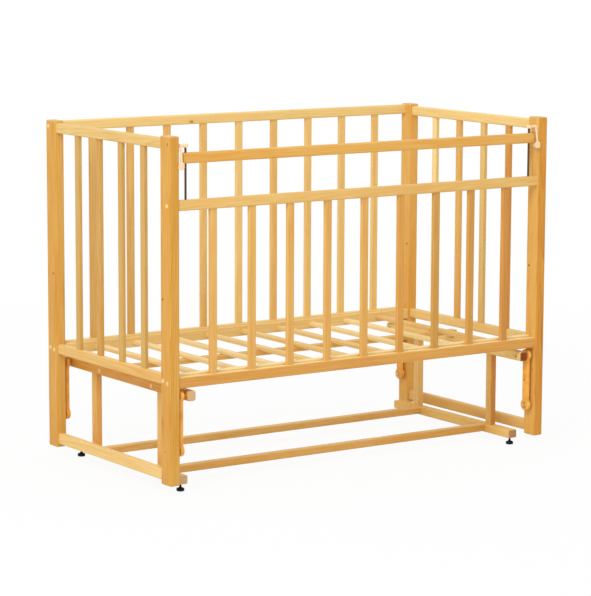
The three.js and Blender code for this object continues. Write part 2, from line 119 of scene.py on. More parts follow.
class CribTimber(bpy.types.PropertyGroup):
    """Sizes and colours of the timber."""

    post_thickness: length("Post thickness", "Size of a post along the crib", 31)
    post_edge: length("Post edge", "Rounding of a post's long edges", 5)
    post_end: length("Post end", "Rounding round a post's top and foot", 4.2)
    rail_edge: length("Rail edge", "Rounding of the rails' long edges", 4.5)
    slat_thickness: length("Slat thickness", "Thickness of an upright slat", 12)
    slat_width: length("Slat width", "Width of an upright slat", 21.5)
    slat_edge: length("Slat edge", "Rounding of an upright slat's long edges", 2.6)
    base_slat_width: length("Base slat width", "Width of a slat of the mattress base", 28)
    base_slat_crown: length("Base slat crown", "How far the top of a base slat bulges", 4)
    base_slat_edge: length("Base slat edge", "Rounding of a base slat's edges", 1.6)
    end_space: length("End space", "Distance from an end rail's end to the middle of its first slat", 106.7, 300)
    batten_height: length("Batten height", "Height of the batten under the base slats", 13)
    stand_edge: length("Stand edge", "Rounding of the feet's, stretchers' and uprights' edges", 4)
    beam_width: length("Beam width", "Width of a stand beam", 26)
    beam_edge: length("Beam edge", "Rounding of the stand beams' long edges", 7)
    stand_end: length("Stand end", "Rounding round the ends of the feet and beams", 3)
    cut_end: length("Cut end", "Rounding round the ends of the drop bar and the batten", 1.5)
    bolt_hole: length("Bolt hole", "Diameter of the upper hole for the mattress base", 7)
    ring_spacing: length("Ring spacing", "Distance between two growth rings", 3.4)
    pale: colour("Pale wood", "Varnished wood where it is palest", "FDE4A2")
    straw: colour("Straw wood", "Body colour of the palest boards", "F3D183")
    honey: colour("Honey wood", "Body colour of most of the boards", "E6B866")
    amber: colour("Amber wood", "The deeper boards, and growth rings and streaks in the others", "DC9D3F")
    deep: colour("Deep wood", "Dark lines in the deeper boards", "C88026")
    darkest: colour("Darkest wood", "Darkest lines and flecks", "AB641B")
    greyer: colour("Greyer wood", "What the colour of a board cut near the heart is multiplied with", "E9F6FF")
    end_grain: colour("End grain", "Cut ends, which look greyer than the boards' sides", "D4AE7E")
    # Painted shade: the deep brown that shaded cut ends are painted, not a colour of the wood itself
    shaded_end: colour("Soaked end", "Cut ends that have soaked up much varnish", "853C00")
    knot: colour("Knot", "Reddish heart of a small knot", "A8602C")
    roughness: share("Roughness", "Roughness of the wood under its varnish", 0.46)
    varnish: share("Varnish", "How much clear varnish lies on the wood", 0.18)
    varnish_roughness: share("Varnish roughness", "Roughness of the clear varnish", 0.26)


class CribFittings(bpy.types.PropertyGroup):
    """Sizes and colours of the arms, latches, rods, screws, plugs and glides."""

    boss_diameter: length("Boss diameter", "Diameter of an arm's bosses", 33)
    boss_edge: length("Boss edge", "Rounding of the rims of an arm's bosses", 2)
    arm_width: length("Arm width", "Width of an arm between its bosses", 22)
    arm_thickness: length("Arm thickness", "Thickness of an arm between its bosses", 11)
    arm_edge: length("Arm edge", "Rounding of an arm's long edges", 2.6)
    bore: length("Bore", "Diameter of an arm's bores", 8.6)
    counterbore: length("Counterbore", "Diameter of the recess for a screw's head", 17)
    counterbore_depth: length("Counterbore depth", "Depth of the recess for a screw's head", 3)
    arm_hole: length("Arm hole", "Diameter of the small hole in an arm's middle", 5)
    shank: length("Shank", "Diameter of a pivot screw's shank", 8)
    head: length("Head", "Diameter of a pivot screw's head", 14)
    head_height: length("Head height", "Height of a pivot screw's head", 2.5)
    socket_width: length("Socket width", "Width across the flats of the hexagon socket", 5)
    spacer: length("Spacer", "Diameter of the spacer between an arm and the timber", 18)
    plug: length("Plug", "Diameter of a domed plug", 12)
    plug_rise: length("Plug rise", "How far a domed plug stands out", 1.6)
    strap_width: length("Strap width", "Width of a latch's springy strap", 6.6)
    strap_thickness: length("Strap thickness", "Thickness of a latch's springy strap", 2.4)
    thread_pitch: length("Thread pitch", "Pitch of the glides' threaded stems", 1.25)
    stem: length("Stem", "Diameter of a glide's stem", 6)
    glide: length("Glide", "Diameter of a glide's disc", 21.5)
    amber: colour("Arm colour", "Amber plastic of the pendulum arms", "F6B548")
    amber_deep: colour("Arm depth colour", "Amber plastic where the moulding is thick", "E8992C")
    ivory: colour("Latch colour", "Ivory plastic of the latches", "FBDAAA")
    plug_colour: colour("Plug colour", "Pale plastic of the domed plugs", "F6CE8C")
    steel: colour("Rod colour", "Oil-blackened drawn steel of the guide rods", "6A5848")
    zinc: colour("Screw colour", "Yellow passivated zinc of the screws", "E6CF93")
    black: colour("Glide colour", "Black plastic of the levelling glides", "0C0706")


class CribStage(bpy.types.PropertyGroup):
    """Camera and light."""

    place: FloatVectorProperty(
        name="Camera place", description="Where the camera stands", default=(-4.07786, -5.96016, 1.51738), unit="LENGTH"
    )
    azimuth: rotation("Azimuth", "Turn of the view round the crib", -34.289)
    elevation: rotation("Elevation", "How far the view looks down", 8.478)
    roll: rotation("Roll", "Turn of the camera round its view", 0.229)
    lens: FloatProperty(name="Lens", description="Focal length in millimetres", default=156.47, min=10, max=400)
    key: share("Key light", "White level that the key light alone gives a surface facing it", 0.35, 5.0)
    sky: share("Soft light", "White level of the light that comes from all round", 0.88, 5.0)
    whiteness: share("Floor whiteness", "How far the floor goes from its lit colour to plain white in the view", 0.93)
    lamp_size: IntProperty(name="Lamp size", description="Side of the key light in metres", default=2, min=1, max=10)


# Surfaces on numpy grids

# Radius at which a turned profile closes on its axis
AXIS = 0.02 * MM

# Rows send a profile's across, up and along to the crib's axes, for a bar along that axis
AXES = {
    "x": np.array([(0, 1, 0), (0, 0, 1), (1, 0, 0)], float),
    "y": np.array([(-1, 0, 0), (0, 0, 1), (0, 1, 0)], float),
    "z": np.eye(3),
}


def closed_grid(points, ring=False):
    """Corners and faces of a surface P(i, j) that closes in j.

    It closes in i too if it is a ring, and otherwise a flat face closes each end. Seen from the last row, j goes
    round anticlockwise, so every face points outwards.
    """
    rows, steps = points.shape[:2]
    i, j = np.meshgrid(np.arange(rows if ring else rows - 1), np.arange(steps), indexing="ij")
    after, beside = (i + 1) % rows, (j + 1) % steps
    quads = np.stack([i * steps + j, i * steps + beside, after * steps + beside, after * steps + j], -1)
    faces = quads.reshape(-1, 4).tolist()
    if not ring:
        faces += [list(range(steps - 1, -1, -1)), list(range((rows - 1) * steps, rows * steps))]
    return points.reshape(-1, 3), faces


def arcs_outline(arcs, steps=5, hold=0.3 * MM):
    """Centre, radius and outward direction of each point of an outline made of arcs.

    An arc is (centre across, centre up, radius, first turn, last turn), and a point is centre + radius times
    (cos t, sin t). One more point lies just past each end of an arc, on the flat, and keeps its shading flat.
    """
    rows = np.array(arcs, float)
    t = rows[:, 3:4] + (rows[:, 4:5] - rows[:, 3:4]) * np.linspace(0, 1, steps + 1)
    t = np.hstack([t[:, :1], t, t[:, -1:]])
    slip = np.zeros_like(t)
    slip[:, 0], slip[:, -1] = -hold, hold
    out = np.stack([np.cos(t), np.sin(t)], -1)
    side = np.stack([-np.sin(t), np.cos(t)], -1)
    centre = rows[:, None, :2] + slip[..., None] * side
    return centre.reshape(-1, 2), np.repeat(rows[:, 2], t.shape[1]), out.reshape(-1, 2)


def rectangle_outline(width, height, rounding):
    """Outline of a rectangle with a quarter circle at each corner."""
    x, y = width / 2 - rounding, height / 2 - rounding
    quarter = math.pi / 2
    corners = ((x, y), (-x, y), (-x, -y), (x, -y))
    return arcs_outline([(cx, cy, rounding, q * quarter, (q + 1) * quarter) for q, (cx, cy) in enumerate(corners)])


def crowned_outline(width, height, crown, rounding):
    """Outline of a slat with a flat underside and a top that is one shallow arc.

    The crown's circle goes through the two upper corners, so R = (w^2 / 4 + c^2) / 2c. The arc that rounds
    an upper corner touches the side and the inside of that circle.
    """
    half, pi = width / 2, math.pi
    radius = (half**2 + crown**2) / (2 * crown)
    centre = height / 2 - radius
    x, low = half - rounding, -height / 2 + rounding
    rise = math.sqrt((radius - rounding) ** 2 - x**2)
    start = math.atan2(rise, x)
    right = [(x, low, rounding, -pi / 2, 0), (x, centre + rise, rounding, 0, start)]
    left = [(-x, centre + rise, rounding, pi - start, pi), (-x, low, rounding, pi, 1.5 * pi)]
    return arcs_outline([*right, (0, centre, radius, start, pi - start), *left])


def carried(outline, long, rounding=0.0, steps=4, hold=0.3 * MM):
    """An outline carried along a straight line: P(i, j) = (centre_j + (r_j - inset_i) out_j, along_i).

    At e (1 - cos t) from either end the outline is smaller by e (1 - sin t), which rounds the end by a quarter circle.
    """
    centre, radius, out = outline
    t = np.linspace(0, math.pi / 2, steps + 1) if rounding else np.array([math.pi / 2])
    along = np.concatenate([[0], rounding * (1 - np.cos(t)), [rounding + hold]]) - long / 2
    inset = np.concatenate([[rounding + hold], rounding * (1 - np.sin(t)), [0]])
    along, inset = np.concatenate([along, -along[::-1]]), np.concatenate([inset, inset[::-1]])
    reach = np.maximum(radius - inset[:, None], 0.05 * MM)
    section = centre + reach[..., None] * out
    return np.concatenate([section, np.broadcast_to(along[:, None, None], section.shape[:2] + (1,))], -1)


def block(one, other, axis, edge, end=0.0):
    """A block between two opposite corners, with its long edges and its ends rounded, as corners and faces."""
    one, other = np.array(one, float), np.array(other, float)
    across, up, long = np.abs(AXES[axis] @ (other - one))
    return closed_grid(carried(rectangle_outline(across, up, edge), long, end) @ AXES[axis] + (one + other) / 2)


def round_bar(diameter, start, end, steps=40):
    """A round bar between two points as corners and faces; the first axis that it can't lie along goes across."""
    start, end = np.array(start, float), np.array(end, float)
    line = (end - start) / np.linalg.norm(end - start)
    across = np.cross(line, (0, 0, 1) if abs(line[2]) < 0.9 else (1, 0, 0))
    across /= np.linalg.norm(across)
    up = np.cross(line, across)
    t = np.linspace(0, math.tau, steps, endpoint=False)
    circle = (np.cos(t)[:, None] * across + np.sin(t)[:, None] * up) * diameter / 2
    return closed_grid(np.stack([start + circle, end + circle]))


def turned(profile, steps=40):
    """A profile of (radius, height) turned round the third axis: P = (r cos t, r sin t, h).

    Radius and height may also change along a row, one value for each turn t.
    """
    t = np.linspace(0, math.tau, steps, endpoint=False)
    r, h = (np.array(part, float).reshape(len(part), -1) + 0 * t for part in profile)
    return np.stack([r * np.cos(t), r * np.sin(t), h], -1)


def lathe(corners, fillets, steps, arc=4, hold=0.15 * MM, ring=False):
    """A profile of straight runs in (radius, height) with an arc in each corner, turned round the third axis.

    At corner B with unit directions u and w to its neighbours and half angle a, an arc of radius r starts
    r / tan a from B and its centre lies r / sin a from B on the line that halves the corner. Points between are
    (sin((1 - s) o) p + sin(s o) q) / sin o, with p and q the arc's ends seen from its centre and o its turn.
    Unless the profile is a ring, its first and last corners stay as they are, on the axis.
    """
    points, r = np.array(corners, float), np.array(fillets, float)
    u, w = np.roll(points, 1, 0) - points, np.roll(points, -1, 0) - points
    u /= np.linalg.norm(u, axis=1, keepdims=True)
    w /= np.linalg.norm(w, axis=1, keepdims=True)
    half = np.arccos(np.clip((u * w).sum(1), -1, 1)) / 2
    halving = (u + w) / np.linalg.norm(u + w, axis=1, keepdims=True)
    centre = points + halving * (r / np.sin(half))[:, None]
    reach = (r / np.tan(half))[:, None]
    start, end = points + u * reach, points + w * reach
    s = np.linspace(0, 1, arc + 1)[None, :, None]
    sweep = (math.pi - 2 * half)[:, None, None]
    p, q = (start - centre)[:, None], (end - centre)[:, None]
    curve = centre[:, None] + (np.sin((1 - s) * sweep) * p + np.sin(s * sweep) * q) / np.sin(sweep)
    curve = np.concatenate([(start + u * hold)[:, None], curve, (end + w * hold)[:, None]], 1)
    if not ring:
        curve = np.vstack([points[:1], curve[1:-1].reshape(-1, 2), points[-1:]])
    return turned(curve.reshape(-1, 2).T, steps)


def along_x(points, sign, place, ring=False):
    """Corners and faces of a part turned from the third axis onto X, outwards or inwards by its sign, at a place.

    (x, y, z) goes to (s z, s x, y), which turns the part without mirroring it.
    """
    x, y, z = points[..., 0], points[..., 1], points[..., 2]
    return closed_grid(np.stack([sign * z, sign * x, y], -1) + np.array(place), ring)


# Pieces


def mesh_object(name, parts, finish, sharp=38):
    """An object of one or more closed surfaces, smooth but for edges sharper than so many degrees.

    A part is (corners, faces) or (corners, faces, {attribute: values}).
    """
    corners, faces, columns = [], [], {}
    for points, shapes, *attributes in parts:
        start = sum(len(c) for c in corners)
        corners.append(points)
        faces += [[start + k for k in face] for face in shapes]
        for key, values in (attributes[0] if attributes else {}).items():
            columns.setdefault(key, []).append(values)
    mesh = bpy.data.meshes.new(name)
    mesh.from_pydata(np.concatenate(corners).tolist(), [], faces)
    mesh.validate()
    mesh.update()
    mesh.shade_smooth()
    mesh.set_sharp_from_angle(angle=math.radians(sharp))
    for key, values in columns.items():
        write_attribute(mesh, key, np.concatenate(values))
    mesh.materials.append(bpy.data.materials[finish])
    made = bpy.data.objects.new(name, mesh)
    bpy.context.scene.collection.objects.link(made)
    return made


def write_attribute(mesh, name, values):
    """Stores a number or a vector for each corner of the mesh."""
    kind, key = ("FLOAT", "value") if values.ndim == 1 else ("FLOAT_VECTOR", "vector")
    column = mesh.attributes.get(name) or mesh.attributes.new(name, kind, "POINT")
    column.data.foreach_set(key, values.astype(np.float32).ravel())


def drill(made, holes, columns=None, sharp=38):
    """Cuts round holes out of a piece and works its attributes out again for the new corners."""
    cutter = mesh_object("cutter", holes, made.data.materials[0].name)
    cut = made.modifiers.new("holes", "BOOLEAN")
    cut.operation, cut.object, cut.solver = "DIFFERENCE", cutter, "EXACT"
    finished = bpy.data.meshes.new_from_object(made.evaluated_get(bpy.context.evaluated_depsgraph_get()))
    made.modifiers.clear()
    old, made.data = made.data, finished
    bpy.data.meshes.remove(old)
    bpy.data.objects.remove(cutter)
    finished.set_sharp_from_angle(angle=math.radians(sharp))
    if columns:
        points = np.zeros(len(finished.vertices) * 3, np.float32)
        finished.vertices.foreach_get("co", points)
        for key, values in columns(points.reshape(-1, 3).astype(float)).items():
            write_attribute(finished, key, values)


def stand_for(made, node):
    """The piece takes the place of a CAD node, whose part it hides, and moves with its body."""
    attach(made, frame["nodes"][node]["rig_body"])
    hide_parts(node)
    return made


def fastening(name, parts, finish, body):
    """A piece with its finish that rides on a body beside the CAD nodes."""
    made = mesh_object(name, parts, finish)
    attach(made, body)


def box(node):
    """Lowest and highest corner of a CAD node as arrays."""
    lo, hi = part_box(node)
    return np.array(lo), np.array(hi)


def middle(node):
    """Middle of a CAD node's box."""
    return sum(box(node)) / 2


# How far the boards that look greyer in the photo go to the greyer wood
GREYER_BOARDS = {
    **{f"end_slat_frame_left slat {k}": amount for k, amount in enumerate((1.0, 1.0, 0.8, 1.0))},
    "end_slat_frame_right slat 1": 0.5,
    "post front left": 0.35,
    "post back left": 0.35,
    "end_top_rail_left": 0.4,
    "back_slat_1": 0.4,
    "back_slat_2": 0.3,
    "front_slat_7": 0.7,
    "front_slat_8": 0.3,
}

# Painted light and shade: faces painted paler or deeper than the rest of their board for how the light falls on them,
# by how much their depth differs
FACE_LIGHT_AND_SHADE = {
    "left": {
        "post front right": -0.2,
        "post back left": 0.06,
        "post back right": -0.05,
        "end_slat_frame_left": 0.04,
        "end_slat_frame_left slat 2": 0.06,
        "end_slat_frame_right slat 1": -0.08,
        "end_slat_frame_right slat 3": -0.4,
        "upright_front_right": -0.3,
        "upright_back_right": -0.1,
        "beam_right": -0.1,
        **{f"front_slat_{k}": -0.13 if k > 1 else 0.04 for k in range(1, 10)},
        **{f"back_slat_{k}": 0.14 for k in (1, 2)},
    },
    "front": {
        "front_bottom_rail": 0.05,
        "post front right": 0.05,
        "post back left": -0.05,
        "post back right": 0.02,
        "end_slat_frame_right slat 1": 0.12,
        "end_slat_frame_right slat 2": 0.08,
        "end_slat_frame_right slat 3": 0.06,
        "upright_front_left": -0.09,
        "upright_front_right": 0.1,
    },
    "top": {
        "front_bottom_rail": -0.52,
        "end_slat_frame_left": -0.12,
        "end_slat_frame_right": 0.12,
        "foot_left": -0.09,
        "stretcher_front": -0.25,
        "stretcher_back": -0.14,
        "base_side_rail_front": -0.06,
    },
}


class Board:
    """A bar of timber between two corners, along one axis, with its own cut through the tree.

    Its grain is measured from the heart of the tree, which runs beside the bar: the bar's own across, up and
    along, plus the heart's distance, which drifts slowly along the bar as a saw cut does.
    """

    # How far from its plane a face's painted light or shade reaches
    painted_face_reach = 2 * MM

    def __init__(self, name, lo, hi, axis, rounding, end=0.0, outline=None, depth=0.5, cut=0.0):
        self.name, self.lo, self.hi = name, np.array(lo, float), np.array(hi, float)
        self.turn, self.end, self.cut = AXES[axis], end, cut
        self.centre = (self.lo + self.hi) / 2
        self.size = np.abs(self.turn @ (self.hi - self.lo))
        self.outline = outline or rectangle_outline(self.size[0], self.size[1], rounding)
        # The heart lies 24 to 90 mm off, drifts by up to 22 mm to a metre, and the pattern starts anywhere in 9 m
        chance = np.random.default_rng(zlib.crc32(name.encode()))
        angle, reach = chance.uniform(0, math.tau), chance.uniform(24, 90) * MM
        self.heart = np.array([reach * math.cos(angle), reach * math.sin(angle), chance.uniform(0, 9)])
        self.drift = chance.uniform(-0.022, 0.022, 2)
        self.depth = depth + chance.uniform(-0.03, 0.03)

    def columns(self, points):
        """The attributes that the timber's material reads at each point.

        The grain is the point's place in the tree, and end goes from nought to one over the rounding of a cut end.
        """
        grain = (points - self.centre) @ self.turn.T
        reach = np.abs(grain[:, 2])
        grain[:, :2] += grain[:, 2:] * self.drift
        ones = np.ones(len(points))
        depth = ones * self.depth
        # Listed faces are painted paler or deeper than their board, as painted light and shade
        for axis, (face, place) in enumerate((("left", self.lo[0]), ("front", self.lo[1]), ("top", self.hi[2]))):
            near = np.clip(1 - np.abs(points[:, axis] - place) / self.painted_face_reach, 0, 1)
            depth += FACE_LIGHT_AND_SHADE[face].get(self.name, 0.0) * near
        return {
            "grain": grain + self.heart,
            "depth": depth,
            # How far a cut end goes towards the painted shade colour
            "cut": ones * self.cut,
            "greyer": ones * GREYER_BOARDS.get(self.name, 0.0),
            "end": np.clip(1 - (self.size[2] / 2 - reach) / max(self.end, 0.5 * MM), 0, 1) ** 2,
        }

    def part(self):
        """The bar's surface with its attributes."""
        points, faces = closed_grid(carried(self.outline, self.size[2], self.end) @ self.turn + self.centre)
        return points, faces, self.columns(points)


def timber_piece(node, boards, name=None):
    """One piece of timber for a CAD node, of one or more boards."""
    made = mesh_object(name or f"{node}_timber", [board.part() for board in boards], "varnished_beech")
    return stand_for(made, node)


def plain_timber(node, axis, edge, depth, end=0.0, cut=0.0):
    """A piece of timber that is one board and fills its CAD node's box."""
    return timber_piece(node, [Board(node, *box(node), axis, edge, end, depth=depth, cut=cut)])


# Materials


def cleared(owner):
    """The emptied node tree of a new material or world."""
    owner.use_nodes = True
    owner.node_tree.nodes.clear()
    return owner.node_tree


def add(tree, kind, sockets=None, stops=(), **settings):
    """Adds a node with its settings and a ramp's stops.

    A socket takes a value, the output of another node, or another node, which stands for its first output.
    """
    made = tree.nodes.new("ShaderNode" + kind)
    for key, value in settings.items():
        setattr(made, key, value)
    for key, value in (sockets or {}).items():
        value = value.outputs[0] if isinstance(value, bpy.types.Node) else value
        if isinstance(value, bpy.types.NodeSocket):
            tree.links.new(value, made.inputs[key])
        else:
            made.inputs[key].default_value = value
    for k, (place, value) in enumerate(stops):
        row = made.color_ramp.elements
        stop = row[k] if k < 2 else row.new(place)
        stop.position = place
        stop.color = (*((value,) * 3 if isinstance(value, float) else value), 1)
    return made


# Small knots in the back rails: their middles in metres and how far each one reaches across the grain
KNOTS = (((-0.168, 0.308, 0.9285), 5 * MM), ((-0.173, 0.308, 0.3115), 2.5 * MM))


def varnished_beech(timber):
    """Beech, planed, sanded and sprayed with clear varnish.

    The eye sees fine fibre streaks, the darker lines of the growth rings, short flecks of the wood rays, slow clouds
    of colour, boards that differ in depth, faces painted paler or deeper as painted light and shade, browner cut
    ends, cut ends painted dark brown as painted shade, and a soft shine over it all. Each of them only shifts
    how deep the wood is, and one ramp turns that into colour, because darker beech is also more orange.
    """
    tree = cleared(bpy.data.materials.new("varnished_beech"))
    grain = add(tree, "Attribute", attribute_name="grain").outputs["Vector"]
    names = ("depth", "end", "cut", "greyer")
    level, end, cut, greyer = (add(tree, "Attribute", attribute_name=name).outputs["Fac"] for name in names)

    # Waves of about 45 mm across and 0.5 m along push the rings about by up to 5 mm
    slow = add(tree, "VectorMath", {0: grain, 1: (1, 1, 0.09)}, operation="MULTIPLY")
    wave = add(tree, "TexNoise", {"Vector": slow, "Scale": 22.0, "Detail": 2.0}).outputs["Color"]
    swing = add(tree, "VectorMath", {0: wave, 1: (0.5, 0.5, 0.5)}, operation="SUBTRACT")
    push = add(tree, "VectorMath", {0: swing, 1: (0.010, 0.010, 0)}, operation="MULTIPLY")
    bent = add(tree, "VectorMath", {0: grain, 1: push}, operation="ADD")
    flat = add(tree, "VectorMath", {0: bent, 1: (1, 1, 0)}, operation="MULTIPLY")
    reach = add(tree, "VectorMath", {0: flat}, operation="LENGTH").outputs["Value"]
    count = add(tree, "Math", {0: reach, 1: 1 / timber.ring_spacing}, operation="MULTIPLY")
    phase = add(tree, "Math", {0: count}, operation="FRACT")
    ring = add(tree, "ValToRGB", {"Fac": phase}, [(0, 0.0), (1, 0.0), (0.55, 0.25), (0.9, 1.0)])

    # Fibre streaks, drawn 3 mm across and 120 mm along: the real ones are finer than the render can show
    thin = add(tree, "VectorMath", {0: grain, 1: (1, 1, 0.025)}, operation="MULTIPLY")
    fibre = add(tree, "TexNoise", {"Vector": thin, "Scale": 330.0, "Detail": 3.0})
    streak = add(tree, "ValToRGB", {"Fac": fibre}, [(0.34, 0.0), (0.66, 1.0)])

    # Ray flecks: cells of 1.6 mm by 12 mm with a dark spindle in the middle of each
    cells = add(tree, "VectorMath", {0: grain, 1: (620, 620, 85)}, operation="MULTIPLY")
    near = add(tree, "TexVoronoi", {"Vector": cells, "Scale": 1.0})
    fleck = add(tree, "ValToRGB", {"Fac": near}, [(0.1, 1.0), (0.24, 0.0)])

    # Clouds of colour about 60 mm across and 0.6 m along
    wide = add(tree, "VectorMath", {0: grain, 1: (1, 1, 0.1)}, operation="MULTIPLY")
    cloud = add(tree, "TexNoise", {"Vector": wide, "Scale": 16.0, "Detail": 3.0})

    # Each pattern's weight in depth, and what they add on average comes off again
    for pattern, weight in ((streak, 0.14), (ring, 0.13), (cloud, 0.36), (fleck, 0.10)):
        level = add(tree, "Math", {0: pattern, 1: weight, 2: level}, operation="MULTIPLY_ADD")
    level = add(tree, "Math", {0: level, 1: 0.29}, operation="SUBTRACT")
    shades = [(0.0, timber.pale), (1.0, timber.darkest), (0.22, timber.straw), (0.44, timber.honey)]
    shades += [(0.66, timber.amber), (0.88, timber.deep)]
    body = add(tree, "ValToRGB", {"Fac": level}, shades)
    tint = {0: greyer, 6: body, 7: (*timber.greyer, 1)}
    body = add(tree, "Mix", tint, data_type="RGBA", blend_type="MULTIPLY").outputs[2]
    # Cut ends go from the end grain colour towards the painted shade colour as far as the cut attribute says
    ends = {0: cut, 6: (*timber.end_grain, 1), 7: (*timber.shaded_end, 1)}
    end_shade = add(tree, "Mix", ends, data_type="RGBA").outputs[2]
    whole = add(tree, "Mix", {0: end, 6: body, 7: end_shade}, data_type="RGBA").outputs[2]

    place = add(tree, "TexCoord").outputs["Object"]
    for knot, size in KNOTS:
        away = add(tree, "VectorMath", {0: place, 1: knot}, operation="SUBTRACT")
        drawn = add(tree, "VectorMath", {0: away, 1: (0.45, 1, 1)}, operation="MULTIPLY")
        far = add(tree, "VectorMath", {0: drawn}, operation="LENGTH").outputs["Value"]
        spread = {"Value": far, "From Min": 0.3 * size, "From Max": size, "To Min": 0.8, "To Max": 0.0}
        amount = add(tree, "MapRange", spread, interpolation_type="SMOOTHSTEP")
        whole = add(tree, "Mix", {0: amount, 6: whole, 7: (*timber.knot, 1)}, data_type="RGBA").outputs[2]

    matt, satin = timber.roughness + 0.06, timber.roughness - 0.05
    relief = add(tree, "Math", {0: ring, 1: 0.4, 2: streak}, operation="MULTIPLY_ADD")
    surface = {
        "Base Color": whole,
        "Roughness": add(tree, "MapRange", {"Value": streak, "To Min": satin, "To Max": matt}),
        "Normal": add(tree, "Bump", {"Height": relief, "Strength": 0.25, "Distance": 0.15 * MM}),
        "Specular IOR Level": 0.14,
        "Coat Weight": timber.varnish,
        "Coat IOR": 1.42,
        "Coat Roughness": timber.varnish_roughness,
    }
    add(tree, "OutputMaterial", {"Surface": add(tree, "BsdfPrincipled", surface)})


def moulded_plastic(name, base, second, roughness, grit, subsurface=0.0, shine=0.5):
    """Injection-moulded plastic: an even body colour with faint flow marks and the fine grit of the mould."""
    tree = cleared(bpy.data.materials.new(name))
    place = add(tree, "TexCoord").outputs["Object"]
    # Flow marks about 22 mm wide
    flow = add(tree, "TexNoise", {"Vector": place, "Scale": 45.0, "Detail": 2.0})
    grain = add(tree, "TexNoise", {"Vector": place, "Scale": 1 / grit, "Detail": 2.0})
    surface = {
        "Base Color": add(tree, "ValToRGB", {"Fac": flow}, [(0.3, second), (0.62, base)]),
        "Roughness": add(tree, "MapRange", {"Value": grain, "To Min": roughness - 0.08, "To Max": roughness + 0.08}),
        "Normal": add(tree, "Bump", {"Height": grain, "Strength": 0.2, "Distance": 0.05 * MM}),
        "IOR": 1.5,
        "Specular IOR Level": shine,
    }
    if subsurface:
        surface |= {"Subsurface Weight": subsurface, "Subsurface Radius": (1.0, 0.6, 0.25), "Subsurface Scale": 3 * MM}
    add(tree, "OutputMaterial", {"Surface": add(tree, "BsdfPrincipled", surface)})


def bare_metal(name, bright, dull, spacing, stretch, detail, bright_from, polish):
    """A metal whose patches or lines, so far apart, go from dull to bright and from polished to less polished."""
    tree = cleared(bpy.data.materials.new(name))
    place = add(tree, "TexCoord").outputs["Object"]
    drawn = add(tree, "VectorMath", {0: place, 1: (1, 1, stretch)}, operation="MULTIPLY")
    pattern = add(tree, "TexNoise", {"Vector": drawn, "Scale": 1 / spacing, "Detail": detail})
    shades = [(0.3, [dull * c for c in bright]), (bright_from, bright)]
    surface = {
        "Base Color": add(tree, "ValToRGB", {"Fac": pattern}, shades),
        "Roughness": add(tree, "MapRange", {"Value": pattern, "To Min": polish[0], "To Max": polish[1]}),
        "Metallic": 1.0,
    }
    add(tree, "OutputMaterial", {"Surface": add(tree, "BsdfPrincipled", surface)})


def shown(tree):
    """One where the view shows a surface, itself or in a gloss or clear glass, and nought where it only gives light."""
    path = add(tree, "LightPath")
    seen = path.outputs["Is Camera Ray"]
    for kind in ("Is Glossy Ray", "Is Transmission Ray"):
        seen = add(tree, "Math", {0: seen, 1: path.outputs[kind]}, operation="MAXIMUM")
    return seen


def white_floor(stage):
    """A matt white studio floor that goes nearly to plain white in the view and keeps a faint shadow.

    Further than the shadow reaches, from 1.5 m to 4 m out, it goes to plain white, so that no edge shows.
    """
    tree = cleared(bpy.data.materials.new("white_floor"))
    lit = add(tree, "BsdfDiffuse", {"Color": (0.82, 0.82, 0.82, 1)})
    plain = add(tree, "Emission", {"Color": (1, 1, 1, 1), "Strength": 1.0})
    place = add(tree, "TexCoord").outputs["Object"]
    far = add(tree, "VectorMath", {0: place}, operation="LENGTH").outputs["Value"]
    spread = {"Value": far, "From Min": 1.5, "From Max": 4.0, "To Min": stage.whiteness, "To Max": 1.0}
    white = add(tree, "MapRange", spread, interpolation_type="SMOOTHSTEP")
    amount = add(tree, "Math", {0: shown(tree), 1: white}, operation="MULTIPLY")
    add(tree, "OutputMaterial", {"Surface": add(tree, "MixShader", {0: amount, 1: lit, 2: plain})})


class CRIB_OT_materials(bpy.types.Operator):
    """Makes the finishes that the pieces share"""

    bl_idname = "crib.materials"
    bl_label = "Finishes"

    def execute(self, context):
        fittings = context.scene.crib_fittings
        varnished_beech(context.scene.crib_timber)
        # Nylon for the arms: waxy, slightly see-through at its edges, with a soft shine
        moulded_plastic("amber_nylon", fittings.amber, fittings.amber_deep, 0.38, 1.2 * MM, 0.25)
        # ABS for the latches: opaque ivory with a smooth satin skin
        ivory_shade = [0.9 * c for c in fittings.ivory]
        moulded_plastic("ivory_abs", fittings.ivory, ivory_shade, 0.36, 1.5 * MM, 0.1)
        # Polyethylene for the plugs: matt and a little waxy
        plug_shade = [0.88 * c for c in fittings.plug_colour]
        moulded_plastic("plug_polyethylene", fittings.plug_colour, plug_shade, 0.45, 1.5 * MM, 0.1)
        # Glass-filled nylon for the glides: matt black with a slightly rough skin
        moulded_plastic("black_nylon", [1.6 * c for c in fittings.black], fittings.black, 0.6, 0.9 * MM, shine=0.25)
        # Cold-drawn steel under a film of oil: dark and brownish, with fine lines along the rod. They lie 0.8 mm
        # apart, coarser than the real ones, which the render can't show
        bare_metal("drawn_steel", fittings.steel, 0.6, 0.8 * MM, 0.02, 2.0, 0.7, (0.28, 0.45))
        # Yellow passivated zinc on the screws: faint uneven gold patches and a satin shine
        bare_metal("passivated_zinc", fittings.zinc, 0.72, 3 * MM, 1, 3.0, 0.65, (0.26, 0.44))
        return {"FINISHED"}


# Places that more than one piece needs

PIVOT_INSET = 15.5 * MM
LATCH_SCREW_HOLE = 9.5 * MM
NUT_DEPTH = 4 * MM
# How far an upright slat's ends reach into its rails
TENON = 2 * MM


def post_inner():
    """Distance of the posts' inner faces from the crib's middle: the long rails end there."""
    return float(box("back_top_rail")[1][0])


